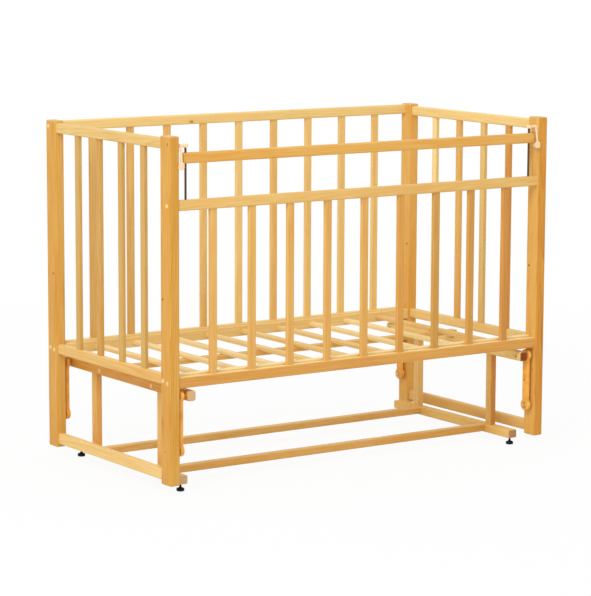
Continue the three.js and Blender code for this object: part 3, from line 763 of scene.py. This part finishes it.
def arm_pivot(face, side, body):
    """Place across and up of an arm's pivot: the lower one is on the cradle and the upper one on the stand."""
    lo, hi = box(f"arm_{face}_{side}")
    return float(lo[1] + hi[1]) / 2, float(lo[2] + PIVOT_INSET if body == "cradle" else hi[2] - PIVOT_INSET)


def latch_screw_place():
    """Place across and up of the sunk screw that holds a latch's bracket to its post."""
    return float(middle("drop_bar")[1]) - 5 * MM, float(middle("latch_bracket_left")[2]) + 5 * MM


def beam_face(side, sx, timber):
    """Place along X of a beam's outer face, or of its inner face for the opposite sign."""
    return middle(f"foot_{side}")[0] + sx * timber.beam_width / 2


# Operators, one for each group of like pieces


class CRIB_OT_posts(bpy.types.Operator):
    """Makes the four posts, with holes for the mattress base's upper place, the pivot screws and the latches"""

    bl_idname = "crib.posts"
    bl_label = "Posts"

    upper_base_height = 524 * MM
    tip_hole = 4 * MM
    tip_depth = 9 * MM
    # How far a cutter goes past the face that it opens
    past = 2 * MM
    # How deep the colour of each post is
    depths = {"front left": 0.66, "front right": 0.73, "back left": 0.62, "back right": 0.62}

    def execute(self, context):
        timber = context.scene.crib_timber
        inner = post_inner()
        outer = inner + timber.post_thickness
        for face, side, sx in CORNERS:
            lo, hi = box(f"post_{face}_{side}")
            lo[0], hi[0] = sorted((sx * inner, sx * outer))
            depth = self.depths[f"{face} {side}"]
            board = Board(f"post {face} {side}", lo, hi, "z", timber.post_edge, timber.post_end, depth=depth)
            made = timber_piece(f"post_{face}_{side}", [board], f"post_timber_{face}_{side}")
            base = (middle(f"base_side_rail_{face}")[1], self.upper_base_height)
            bores = [(timber.bolt_hole, base, inner - self.past, outer + self.past, 40)]
            sunk = (outer + self.past, outer - self.tip_depth, 24)
            bores.append((self.tip_hole, arm_pivot(face, side, "cradle"), *sunk))
            if face == "front":
                bores.append((LATCH_SCREW_HOLE, latch_screw_place(), *sunk))
            ends = [(size, (sx * a, *place), (sx * b, *place), steps) for size, place, a, b, steps in bores]
            drill(made, [round_bar(*bore) for bore in ends], board.columns)
        return {"FINISHED"}


class CRIB_OT_rails(bpy.types.Operator):
    """Makes the long rails and the end panels' rails with their slats"""

    bl_idname = "crib.rails"
    bl_label = "Rails and end panels"

    # How deep the colour of each rail is
    long_rails = {"back_top_rail": 0.25, "back_bottom_rail": 0.15, "front_mid_rail": 0.46, "front_bottom_rail": 0.61}
    end_rails = {
        "end_top_rail_left": 0.38,
        "end_top_rail_right": 0.22,
        "end_leg_rail_left": 0.33,
        "end_leg_rail_right": 0.38,
    }

    def execute(self, context):
        timber = context.scene.crib_timber
        for axis, rails in (("x", self.long_rails), ("y", self.end_rails)):
            for node, depth in rails.items():
                plain_timber(node, axis, timber.rail_edge, depth)
        self.end_frame("left", timber, 0.46, (0.55, 0.55, 0.6, 0.58))
        self.end_frame("right", timber, 0.22, (0.7, 0.36, 0.47, 0.32))
        return {"FINISHED"}

    def end_frame(self, side, timber, rail_depth, slat_depths):
        """The lower rail of an end panel and the upright slats that stand in it."""
        node = f"end_slat_frame_{side}"
        lo, hi = box(node)
        top, over = (corner[2] for corner in box(f"end_top_rail_{side}"))
        rail_top = lo[2] + over - top
        boards = [Board(node, lo, (hi[0], hi[1], rail_top), "y", timber.rail_edge, depth=rail_depth)]
        half = np.array([timber.slat_thickness / 2, timber.slat_width / 2, 0])
        for k, y in enumerate(np.linspace(lo[1] + timber.end_space, hi[1] - timber.end_space, 4)):
            x = (lo[0] + hi[0]) / 2
            low, high = (x, y, rail_top - TENON) - half, (x, y, top + TENON) + half
            boards.append(Board(f"{node} slat {k}", low, high, "z", timber.slat_edge, depth=slat_depths[k]))
        timber_piece(node, boards)


class CRIB_OT_slats(bpy.types.Operator):
    """Makes the upright slats of the front and the back"""

    bl_idname = "crib.slats"
    bl_label = "Long side slats"

    # The rails under and over the slats, and each slat's depth
    rows = {
        "front": ("front_bottom_rail", "front_mid_rail", (0.52, 0.53, 0.58, 0.58, 0.58, 0.68, 0.72, 0.72, 0.8)),
        "back": ("back_bottom_rail", "back_top_rail", (0.45, 0.5, 0.5, 0.38, 0.3, 0.4, 0.33, 0.3, 0.3)),
    }

    def execute(self, context):
        edge = context.scene.crib_timber.slat_edge
        for face, (under, over, depths) in self.rows.items():
            for k, depth in enumerate(depths, 1):
                node = f"{face}_slat_{k}"
                lo, hi = box(node)
                lo[2], hi[2] = box(under)[1][2] - TENON, box(over)[0][2] + TENON
                timber_piece(node, [Board(node, lo, hi, "z", edge, depth=depth)])
        return {"FINISHED"}


class CRIB_OT_mattress_base(bpy.types.Operator):
    """Makes the mattress base: crowned cross slats, the batten under them and the two side rails"""

    bl_idname = "crib.mattress_base"
    bl_label = "Mattress base"

    slat_depths = (0.08, 0.08, 0.1, 0.24, 0.26, 0.3, 0.08, 0.08, 0.38)
    tenon = 1 * MM

    def execute(self, context):
        timber = context.scene.crib_timber
        for face, depth in (("front", 0.06), ("back", 0.25)):
            plain_timber(f"base_side_rail_{face}", "x", timber.slat_edge, depth)
        front, back = box("base_side_rail_front")[1][1] - self.tenon, box("base_side_rail_back")[0][1] + self.tenon
        width, height = timber.base_slat_width, timber.slat_thickness
        z = middle("base_side_rail_front")[2]
        outline = crowned_outline(width, height, timber.base_slat_crown, timber.base_slat_edge)
        boards = []
        for k, depth in enumerate(self.slat_depths, 1):
            x = middle(f"back_slat_{k}")[0]
            low, high = (x - width / 2, front, z - height / 2), (x + width / 2, back, z + height / 2)
            boards.append(Board(f"base slat {k}", low, high, "y", 0, outline=outline, depth=depth))
        lo, hi = box("mattress_slats")
        y = (lo[1] + hi[1]) / 2
        low, high = (lo[0], y - width / 2, lo[2]), (hi[0], y + width / 2, lo[2] + timber.batten_height)
        boards.append(Board("batten", low, high, "x", timber.slat_edge, timber.cut_end))
        timber_piece("mattress_slats", boards, "mattress_base_timber")
        return {"FINISHED"}


class CRIB_OT_drop_side(bpy.types.Operator):
    """Makes the drop bar and the two steel rods that it slides on"""

    bl_idname = "crib.drop_side"
    bl_label = "Drop bar and rods"

    running_gap = 1 * MM
    # How far a cutter goes past the face that it opens
    past = 2 * MM

    def execute(self, context):
        timber = context.scene.crib_timber
        lo, hi = box("drop_bar")
        board = Board("drop bar", lo, hi, "x", timber.rail_edge, timber.cut_end, depth=0.54)
        made = timber_piece("drop_bar", [board])
        holes = []
        for side, _ in SIDES:
            node = f"guide_rod_{side}"
            low, high = box(node)
            x, y = middle(node)[:2]
            rod = high[0] - low[0]
            profile = [(AXIS, low[2]), (rod / 2, low[2]), (rod / 2, high[2]), (AXIS, high[2])]
            grid = lathe(profile, np.array([0.1, 0.4, 0.4, 0.1]) * MM, 32) + np.array([x, y, 0])
            stand_for(mesh_object(f"guide_rod_steel_{side}", [closed_grid(grid)], "drawn_steel"), node)
            holes.append(round_bar(rod + self.running_gap, (x, y, lo[2] - self.past), (x, y, hi[2] + self.past)))
        drill(made, holes, board.columns)
        return {"FINISHED"}


def smooth_path(points, count):
    """A curve through points by cubic pieces: each piece leaves a point along the line between its neighbours."""
    knots = np.array(points, float)
    knots = np.vstack([2 * knots[0] - knots[1], knots, 2 * knots[-1] - knots[-2]])
    place = np.linspace(0, len(points) - 1, count)
    k = np.minimum(place.astype(int), len(points) - 2)
    s = (place - k)[:, None]
    a, b, c, d = (knots[k + i] for i in range(4))
    return 0.5 * (2 * b + (c - a) * s + (2 * a - 5 * b + 4 * c - d) * s**2 + (3 * b - a - 3 * c + d) * s**3)


def ribbon(path, half_width, half_thickness, power=4.0, steps=32):
    """A strap along a path of (y, z) that is wide along X.

    Its section is |x / a|^p + |n / b|^p = 1, with n square to the path and a and b its half width and half
    thickness there, so P = (a c^(2/p), path + b s^(2/p) n) for c and s the cosine and sine of the turn.
    """
    line = np.gradient(path, axis=0)
    line /= np.linalg.norm(line, axis=1, keepdims=True)
    square = np.stack([-line[:, 1], line[:, 0]], -1)
    t = np.linspace(0, math.tau, steps, endpoint=False)
    c, s = (np.sign(wave) * np.abs(wave) ** (2 / power) for wave in (np.cos(t), np.sin(t)))
    flat = path[:, None] + (half_thickness[:, None] * s)[..., None] * square[:, None]
    return np.stack([half_width[:, None] * c, flat[..., 0], flat[..., 1]], -1)


class CRIB_OT_latches(bpy.types.Operator):
    """Makes the two moulded latches: a bracket on the post and a springy tongue with a press pad"""

    bl_idname = "crib.latches"
    bl_label = "Latches"

    play = 0.3 * MM
    tab_thickness = 8 * MM
    plate_thickness = 2.5 * MM
    # The strap's middle line in (y, z), in mm: its root from the drop bar and the tab, its fall from the tongue's
    # front and the tab, and its foot from the tongue's front and lowest point
    root = ((1.0, 8.6), (-4.0, 8.4), (-8.0, 4.0))
    fall = ((9.6, -8), (6.0, -27))
    foot = ((3.5, 18), (3.05, 10), (3.05, 0.2))
    # The pad's height, the shoulder over it, its round corners and its thin lower lip
    pad_height, shoulder, corner, lip = np.array([20.5, 4.5, 7, 1.8]) * MM
    pad_half_thickness = 3 * MM
    # The tooth behind the pad along X, Y and Z, and how far outside the bar and above the pad's foot it lies
    tooth = np.array([8.6, 12, 10]) * MM
    tooth_place = (4.9 * MM, 9 * MM)

    def execute(self, context):
        for side, sx in SIDES:
            self.bracket(side, sx)
            self.tongue(side, sx, context.scene.crib_fittings)
        return {"FINISHED"}

    def bracket(self, side, sx):
        """A plate on the post's inner face and a tab that ends in a collar round the rod.

        Only the right tab shows a stop lug under it in the photo.
        """
        node = f"latch_bracket_{side}"
        lo, hi = box(node)
        rod = middle(f"guide_rod_{side}")[0]
        y, x, inner = (lo[1] + hi[1]) / 2, abs(rod), post_inner()
        low = box(f"latch_tongue_{side}")[1][2] + self.play
        high = low + self.tab_thickness
        back, front = (inner, hi[1] - 1 * MM, high), (inner - self.plate_thickness, lo[1] + 1 * MM, lo[2])
        blocks = [(front, back, "z", 1.1 * MM)]
        blocks.append(((x, y - 6 * MM, low + 1.5 * MM), (inner - 1 * MM, y + 8 * MM, high), "x", 1.6 * MM))
        if side == "right":
            lug = np.array([(3, -3, -9), (9, 6, 3)]) * MM + (x, y, low)
            blocks.append((lug[0], lug[1], "z", 1.4 * MM))
        mirror = (sx, 1, 1)
        parts = [block(a * np.array(mirror), b * np.array(mirror), *rest, rest[1] * 0.8) for a, b, *rest in blocks]
        place = np.array([rod, y, 0])
        bore, collar, foot, rim = 3.2 * MM, 7.2 * MM, low - 0.2 * MM, high + 1.5 * MM
        profile = [(bore, foot), (collar, foot), (collar, rim), (bore, rim)]
        grid = lathe(profile, np.array([0.3, 1.4, 1.6, 0.3]) * MM, 36, ring=True)
        parts.append(closed_grid(grid + place, ring=True))
        cap, foot, rim = 3.6 * MM, low + 3 * MM, high - 0.6 * MM
        profile = [(AXIS, foot), (cap, foot), (cap, rim), (AXIS, rim)]
        parts.append(closed_grid(lathe(profile, np.array([0.1, 0.3, 0.6, 0.1]) * MM, 24) + place))
        stand_for(mesh_object(f"latch_bracket_moulding_{side}", parts, "ivory_abs"), node)

    def tongue(self, side, sx, fittings):
        """A strap that leaves the tab, bends forward and down, and widens into the press pad, with a tooth behind.

        The pad's lower corners narrow as (1 - c^3)^(1/3) and its lip thins as sqrt(1 - e^2), with c and e how far
        a place is into the corner and the lip. The shoulder widens as f^2 (3 - 2 f).
        """
        node = f"latch_tongue_{side}"
        lo, hi = box(node)
        front, low, tab = lo[1], lo[2], hi[2] + self.play
        anchors = (((middle("drop_bar")[1], tab), self.root), ((front, tab), self.fall), ((front, low), self.foot))
        path = smooth_path(np.vstack([start + np.array(steps) * MM for start, steps in anchors]), 90)
        run = np.concatenate([[0], np.cumsum(np.linalg.norm(np.diff(path, axis=0), axis=1))])
        left = run[-1] - run
        flare = np.clip((self.pad_height - left) / self.shoulder, 0, 1)
        flare = flare * flare * (3 - 2 * flare)
        closing = np.clip((self.corner - left) / self.corner, 0, 1)
        starting = np.clip((2 * MM - run) / (2 * MM), 0, 1)
        edge = np.clip((self.lip - left) / self.lip, 0, 1)
        width, thickness = fittings.strap_width / 2, fittings.strap_thickness / 2
        half_width = width + flare * ((hi[0] - lo[0]) / 2 - width)
        half_width *= (1 - closing**3) ** (1 / 3) * 0.97 + 0.03
        half_width *= 1 - 0.25 * starting**2
        half_thickness = thickness + flare * (self.pad_half_thickness - thickness)
        half_thickness *= np.sqrt(1 - 0.96 * edge**2) * np.sqrt(1 - 0.9 * starting**2)
        grid = ribbon(path, half_width, half_thickness)
        # The strap slants as it goes down and reaches the pad's middle. Both pads stand a little left in the photo
        strap_x = sx * (post_inner() - 7.6 * MM)
        pad_x = (lo[0] + hi[0]) / 2 + sx * 1.2 * MM - 2.5 * MM
        grid[..., 0] += (strap_x + (run / run[-1]) ** 1.5 * (pad_x - strap_x))[:, None]
        out, up = self.tooth_place
        place = np.array([sx * (box("drop_bar")[1][0] + out), front + 3 * MM + self.tooth[1] / 2, low + up])
        tooth = block(place - self.tooth / 2, place + self.tooth / 2, "y", 1.4 * MM, 1.2 * MM)
        made = mesh_object(f"latch_tongue_moulding_{side}", [closed_grid(grid), tooth], "ivory_abs", 45)
        stand_for(made, node)


class CRIB_OT_stand(bpy.types.Operator):
    """Makes the stand: two feet, two stretchers, four uprights and two beams"""

    bl_idname = "crib.stand"
    bl_label = "Stand"

    nut_recess = 11 * MM
    into_foot, into_beam = 1 * MM, 2 * MM
    # How far a foot's ends go to the painted shade colour, how deep the beam is and how far its ends go to it: the
    # right side's ends are painted darker as shade
    ends = {"left": (0.0, 0.7, 0.0), "right": (0.5, 0.36, 1.0)}
    # How deep the colour of each upright is
    uprights = {"front": {"left": 0.45, "right": 0.72}, "back": {"left": 0.56, "right": 0.42}}

    def execute(self, context):
        timber = context.scene.crib_timber
        for side, sx in SIDES:
            foot_end_shade, beam_depth, beam_end_shade = self.ends[side]
            plain_timber(f"foot_{side}", "y", timber.stand_edge, 0.42, timber.stand_end, foot_end_shade)
            node = f"beam_{side}"
            lo, hi = box(node)
            lo[0], hi[0] = beam_face(side, -1, timber), beam_face(side, 1, timber)
            board = Board(node, lo, hi, "y", timber.beam_edge, timber.stand_end, depth=beam_depth, cut=beam_end_shade)
            made = timber_piece(node, [board])
            inner = beam_face(side, -sx, timber)
            recesses = []
            for face in FACES:
                place = arm_pivot(face, side, "stand")
                ends = (inner - sx * MM, *place), (inner + sx * NUT_DEPTH, *place)
                recesses.append(round_bar(self.nut_recess, *ends))
            drill(made, recesses, board.columns)
            for face in FACES:
                node = f"upright_{face}_{side}"
                lo, hi = box(node)
                lo[2], hi[2] = lo[2] - self.into_foot, hi[2] + self.into_beam
                timber_piece(node, [Board(node, lo, hi, "z", timber.stand_edge, depth=self.uprights[face][side])])
        for face, depth in (("front", 0.65), ("back", 0.52)):
            plain_timber(f"stretcher_{face}", "x", timber.stand_edge, depth)
        return {"FINISHED"}


class CRIB_OT_arms(bpy.types.Operator):
    """Makes the four moulded pendulum arms"""

    bl_idname = "crib.arms"
    bl_label = "Pendulum arms"

    hole_height = 192.5 * MM
    bar_inset = 9 * MM

    def execute(self, context):
        for corner in CORNERS:
            self.arm(*corner, context.scene.crib_fittings)
        return {"FINISHED"}

    def boss(self, fittings, half):
        """A boss with its bore and counterbore: one closed profile turned round the pivot, (radius, height)."""
        rim, bore, sink = fittings.boss_diameter / 2, fittings.bore / 2, fittings.counterbore / 2
        floor = half - fittings.counterbore_depth
        edge, small = fittings.boss_edge, 0.35 * MM
        profile = [(bore, -half), (rim, -half), (rim, half), (sink, half), (sink, floor), (bore, floor)]
        return lathe(profile, [small, edge, edge, 0.5 * MM, 0.2 * MM, small], 56, ring=True)

    def arm(self, face, side, sx, fittings):
        """A bar with a boss at each end: the upper one opens outwards and the lower one inwards."""
        node = f"arm_{face}_{side}"
        lo, hi = box(node)
        x, y = middle(node)[:2]
        boss = self.boss(fittings, (hi[0] - lo[0]) / 2)
        upper, lower = (arm_pivot(face, side, body)[1] for body in ("stand", "cradle"))
        half = np.array([fittings.arm_thickness / 2, fittings.arm_width / 2, -self.bar_inset])
        bar = block((x, y, lower) - half, (x, y, upper) + half, "z", fittings.arm_edge)
        made = mesh_object(f"arm_moulding_{face}_{side}", [bar], "amber_nylon")
        reach = fittings.arm_thickness
        ends = (x - reach, y, self.hole_height), (x + reach, y, self.hole_height)
        drill(made, [round_bar(fittings.arm_hole, *ends, 24)])
        parts = [along_x(boss, sign, (x, y, z), ring=True) for sign, z in ((sx, upper), (-sx, lower))]
        bosses = mesh_object("bosses", parts, "amber_nylon")
        with bpy.context.temp_override(active_object=made, selected_editable_objects=[made, bosses]):
            bpy.ops.object.join()
        stand_for(made, node)


def hexagon_head(radius, height, key, steps=48):
    """A low round head with a hexagon socket, on the third axis, its seat at height 0.

    The socket's wall lies at k / cos u, with u the turn from the nearest of six flats, and the rows go from the
    socket's floor up its wall, over the face to the rim and down to the seat.
    """
    t = np.linspace(0, math.tau, steps, endpoint=False)
    u = (t + math.pi / 6) % (math.pi / 3) - math.pi / 6
    wall, level = key / 2 / np.cos(u), 0 * t
    floor, edge = height * 0.35, height * 0.45
    rows = [(0.03 * wall, floor), (0.9 * wall, floor), (wall, floor + 0.1 * MM), (wall, height - 0.1 * MM)]
    rows += [(wall + 0.25 * MM, height), (level + radius - edge - 0.2 * MM, height)]
    for a in np.linspace(0, math.pi / 2, 6):
        rows.append((level + radius - edge + edge * math.sin(a), height - edge + edge * math.cos(a)))
    rows += [(level + radius, 0.0), (level + 0.5 * MM, 0.0)]
    return turned(([r for r, _ in rows[::-1]], [h for _, h in rows[::-1]]), steps)


class CRIB_OT_screws(bpy.types.Operator):
    """Makes the pivot screws with their spacers and the domed plugs over the bolts"""

    bl_idname = "crib.screws"
    bl_label = "Screws and plugs"

    running_gap = 0.3 * MM
    # How deep a latch's screw is sunk, and where a beam's plugs lie in front of and behind its middle
    sunk = 3.2 * MM
    beam_plugs = 139 * MM

    def execute(self, context):
        timber, fittings = context.scene.crib_timber, context.scene.crib_fittings
        outer = post_inner() + timber.post_thickness
        self.pivots("cradle", -1, fittings, timber)
        self.pivots("stand", 1, fittings, timber)
        self.small_screws(outer, timber)
        self.plugs(outer, timber, fittings)
        return {"FINISHED"}

    def pivots(self, body, way, fittings, timber):
        """The four screws of the posts, which point inwards, or of the beams, which point outwards."""
        parts = []
        for face, side, sx in CORNERS:
            lo, hi = box(f"arm_{face}_{side}")
            x = sx * post_inner() if body == "cradle" else beam_face(side, sx, timber)
            gap = min(abs(abs(x) - abs(lo[0])), abs(abs(x) - abs(hi[0])))
            place = (x, *arm_pivot(face, side, body))
            parts += [along_x(grid, way * sx, place) for grid in self.screw(fittings, gap, hi[0] - lo[0])]
        fastening(f"pivot_screws_{body}", parts, "passivated_zinc", body)

    def screw(self, fittings, gap, boss):
        """A spacer, the shank that the arm turns on and the head in the arm's counterbore."""
        spacer, shank = fittings.spacer / 2, fittings.shank / 2
        seat = 2 * gap + boss - fittings.counterbore_depth
        foot, face = -2 * MM, gap - self.running_gap
        washer = [(AXIS, foot), (spacer, foot), (spacer, face), (AXIS, face)]
        washer = lathe(washer, np.array([0.1, 0.3, 0.6, 0.1]) * MM, 40)
        bar = lathe([(AXIS, 0), (shank, 0), (shank, seat), (AXIS, seat)], np.full(4, 0.1 * MM), 32)
        head = hexagon_head(fittings.head / 2, fittings.head_height, fittings.socket_width)
        return washer, bar, head + np.array([0, 0, seat - gap + self.running_gap])

    def small_screws(self, outer, timber):
        """The sunk screws of the latches' brackets, and the nuts of the pivot screws inside the beams."""
        screws, nuts = [], []
        head = hexagon_head(radius=4.4 * MM, height=1.6 * MM, key=3 * MM, steps=36)
        nut = hexagon_head(radius=4.8 * MM, height=2.4 * MM, key=4 * MM, steps=36)
        for side, sx in SIDES:
            screws.append(along_x(head, sx, (sx * (outer - self.sunk), *latch_screw_place())))
            x = beam_face(side, -sx, timber) + sx * NUT_DEPTH
            nuts += [along_x(nut, -sx, (x, *arm_pivot(face, side, "stand"))) for face in FACES]
        fastening("latch_screws", screws, "passivated_zinc", "cradle")
        fastening("beam_nuts", nuts, "passivated_zinc", "stand")

    def plugs(self, outer, timber, fittings):
        """The plugs on the outer faces of the posts and of the beams.

        A plug's rim stands 0.35 mm out and its dome is a quarter of an ellipse: (r cos t, rim + rise sin t).
        """
        r, rise, rim = fittings.plug / 2, fittings.plug_rise, 0.35 * MM
        t = np.linspace(0, math.pi / 2, 9)[:-1]
        radii = np.hstack([AXIS, r, r, (r - 0.2 * MM) * np.cos(t), AXIS])
        dome = turned((radii, np.hstack([-1 * MM, -1 * MM, 0.15 * MM, rim + (rise - rim) * np.sin(t), rise])), 32)
        cradle, stand = [], []
        for face, side, sx in CORNERS:
            top = middle({"front": "front_mid_rail", "back": "back_top_rail"}[face])[2]
            y, z = middle(f"{face}_bottom_rail")[1:]
            for place in ((y, top), (y, z), middle(f"base_side_rail_{face}")[1:]):
                cradle.append(along_x(dome, sx, (sx * outer, *place)))
            _, y, z = middle(f"beam_{side}")
            y += self.beam_plugs * (1 if face == "back" else -1)
            stand.append(along_x(dome, sx, (beam_face(side, sx, timber), y, z)))
        for body, parts in (("cradle", cradle), ("stand", stand)):
            fastening(f"plugs_{body}", parts, "plug_polyethylene", body)


class CRIB_OT_glides(bpy.types.Operator):
    """Makes the four levelling glides: a domed disc on a threaded stem"""

    bl_idname = "crib.glides"
    bl_label = "Levelling glides"

    thread_depth = 0.5 * MM
    # Heights of the disc's shoulder, of its taper's top, of its collar's top and of the stem's foot
    shoulder, taper, collar, stem_foot = np.array([8, 9.5, 12, 10]) * MM

    def execute(self, context):
        for face, side, _ in CORNERS:
            self.glide(f"glide_{face}_{side}", context.scene.crib_fittings)
        return {"FINISHED"}

    def stem(self, radius, low, high, pitch, steps=40):
        """A threaded stem, with eight rows to a pitch.

        Its radius at height h and turn t is r - d |2 f - 1|, with f the fraction of h / p - t / 2 pi.
        """
        h = np.linspace(low, high, int((high - low) / pitch * 8))[:, None]
        t = np.linspace(0, math.tau, steps, endpoint=False)
        return turned((radius - self.thread_depth * np.abs(2 * ((h / pitch - t / math.tau) % 1) - 1), h), steps)

    def glide(self, node, fittings):
        """A disc with a collar, and the stem that goes up into the foot."""
        place = np.append(middle(node)[:2], 0)
        disc, stem = fittings.glide / 2, fittings.stem / 2
        neck = stem + 1 * MM
        profile = [(AXIS, 0), (disc, 0), (disc, self.shoulder), (neck, self.taper), (neck, self.collar)]
        profile.append((AXIS, self.collar))
        body = lathe(profile, np.array([0.1, 2.5, 3.5, 1, 0.6, 0.1]) * MM, 56, arc=6)
        thread = self.stem(stem, self.stem_foot, box(node)[1][2], fittings.thread_pitch)
        parts = [closed_grid(body + place), closed_grid(thread + place)]
        stand_for(mesh_object(f"{node}_moulding", parts, "black_nylon", 50), node)


class CRIB_OT_stage(bpy.types.Operator):
    """Makes the floor, the light and the camera"""

    bl_idname = "crib.stage"
    bl_label = "Stage"

    # Half the floor's side, and where the lamp stands, seen from half a metre over the crib's middle, and how far away
    half_floor = 14.0
    lamp_towards = (-0.62, -0.42, 0.66)
    lamp_distance = 6.0

    def execute(self, context):
        stage = context.scene.crib_stage
        white_floor(stage)
        corners = np.array([(x, y, 0) for x, y in ((-1, -1), (1, -1), (1, 1), (-1, 1))]) * self.half_floor
        floor = mesh_object("floor", [(corners, [[0, 1, 2, 3]])], "white_floor")
        self.light(context, stage)
        self.camera(context, stage)
        context.scene.view_settings.view_transform = "Standard"
        return {"FINISHED"}

    def light(self, context, stage):
        """A soft light at the left and a little above the crib, and even light from all round.

        A lamp of power P at distance d gives a white surface that faces it the level P / (pi d)^2.
        """
        towards = Vector(self.lamp_towards).normalized()
        lamp = bpy.data.lights.new("key light", "AREA")
        lamp.shape, lamp.size = "SQUARE", stage.lamp_size
        lamp.energy = stage.key * (math.pi * self.lamp_distance) ** 2
        lamp.color = (1.0, 0.985, 0.96)
        made = bpy.data.objects.new("key light", lamp)
        made.location = Vector((0, 0, 0.5)) + towards * self.lamp_distance
        made.rotation_mode = "QUATERNION"
        made.rotation_quaternion = (-towards).to_track_quat("-Z", "Y")
        context.scene.collection.objects.link(made)
        world = bpy.data.worlds.new("studio")
        context.scene.world = world
        tree = cleared(world)
        level = add(tree, "MapRange", {"Value": shown(tree), "To Min": stage.sky, "To Max": 1.0})
        lit = add(tree, "Background", {"Color": (1, 1, 1, 1), "Strength": level})
        add(tree, "OutputWorld", {"Surface": lit})

    def camera(self, context, stage):
        """The view goes along azimuth and elevation, and then turns by the roll."""
        a, e = stage.azimuth, stage.elevation
        forward = Vector((-math.sin(a) * math.cos(e), math.cos(a) * math.cos(e), -math.sin(e)))
        right = forward.cross(Vector((0, 0, 1))).normalized()
        tilted = right * math.cos(stage.roll) + right.cross(forward) * math.sin(stage.roll)
        lens = bpy.data.cameras.new("camera")
        lens.lens, lens.sensor_width, lens.sensor_fit = stage.lens, 36.0, "HORIZONTAL"
        lens.clip_start, lens.clip_end = 0.1, 60.0
        made = bpy.data.objects.new("camera", lens)
        axes = Matrix((tilted, tilted.cross(forward), -forward)).transposed()
        made.matrix_world = Matrix.Translation(stage.place) @ axes.to_4x4()
        context.scene.collection.objects.link(made)
        context.scene.camera = made


STEPS = (
    CRIB_OT_materials,
    CRIB_OT_posts,
    CRIB_OT_rails,
    CRIB_OT_slats,
    CRIB_OT_mattress_base,
    CRIB_OT_drop_side,
    CRIB_OT_latches,
    CRIB_OT_stand,
    CRIB_OT_arms,
    CRIB_OT_screws,
    CRIB_OT_glides,
    CRIB_OT_stage,
)


class CRIB_PT_panel(bpy.types.Panel):
    """Lists the steps that build the crib, with its settings"""

    bl_idname = "CRIB_PT_panel"
    bl_label = "Crib"
    bl_space_type = "VIEW_3D"
    bl_region_type = "UI"
    bl_category = "Crib"

    def draw(self, context):
        for step in STEPS:
            self.layout.operator(step.bl_idname)
        for key in GROUPS:
            group = getattr(context.scene, key)
            area = self.layout.box()
            for setting in group.__annotations__:
                area.prop(group, setting)


GROUPS = {"crib_timber": CribTimber, "crib_fittings": CribFittings, "crib_stage": CribStage}
CLASSES = (*GROUPS.values(), *STEPS, CRIB_PT_panel)


def register():
    for item in CLASSES:
        bpy.utils.register_class(item)
    for key, group in GROUPS.items():
        setattr(bpy.types.Scene, key, PointerProperty(type=group))


def unregister():
    for key in GROUPS:
        delattr(bpy.types.Scene, key)
    for item in reversed(CLASSES):
        bpy.utils.unregister_class(item)


def main():
    """Builds everything in order."""
    register()
    for step in STEPS:
        group, name = step.bl_idname.split(".")
        getattr(getattr(bpy.ops, group), name)()


if __name__ == "__main__":
    main()
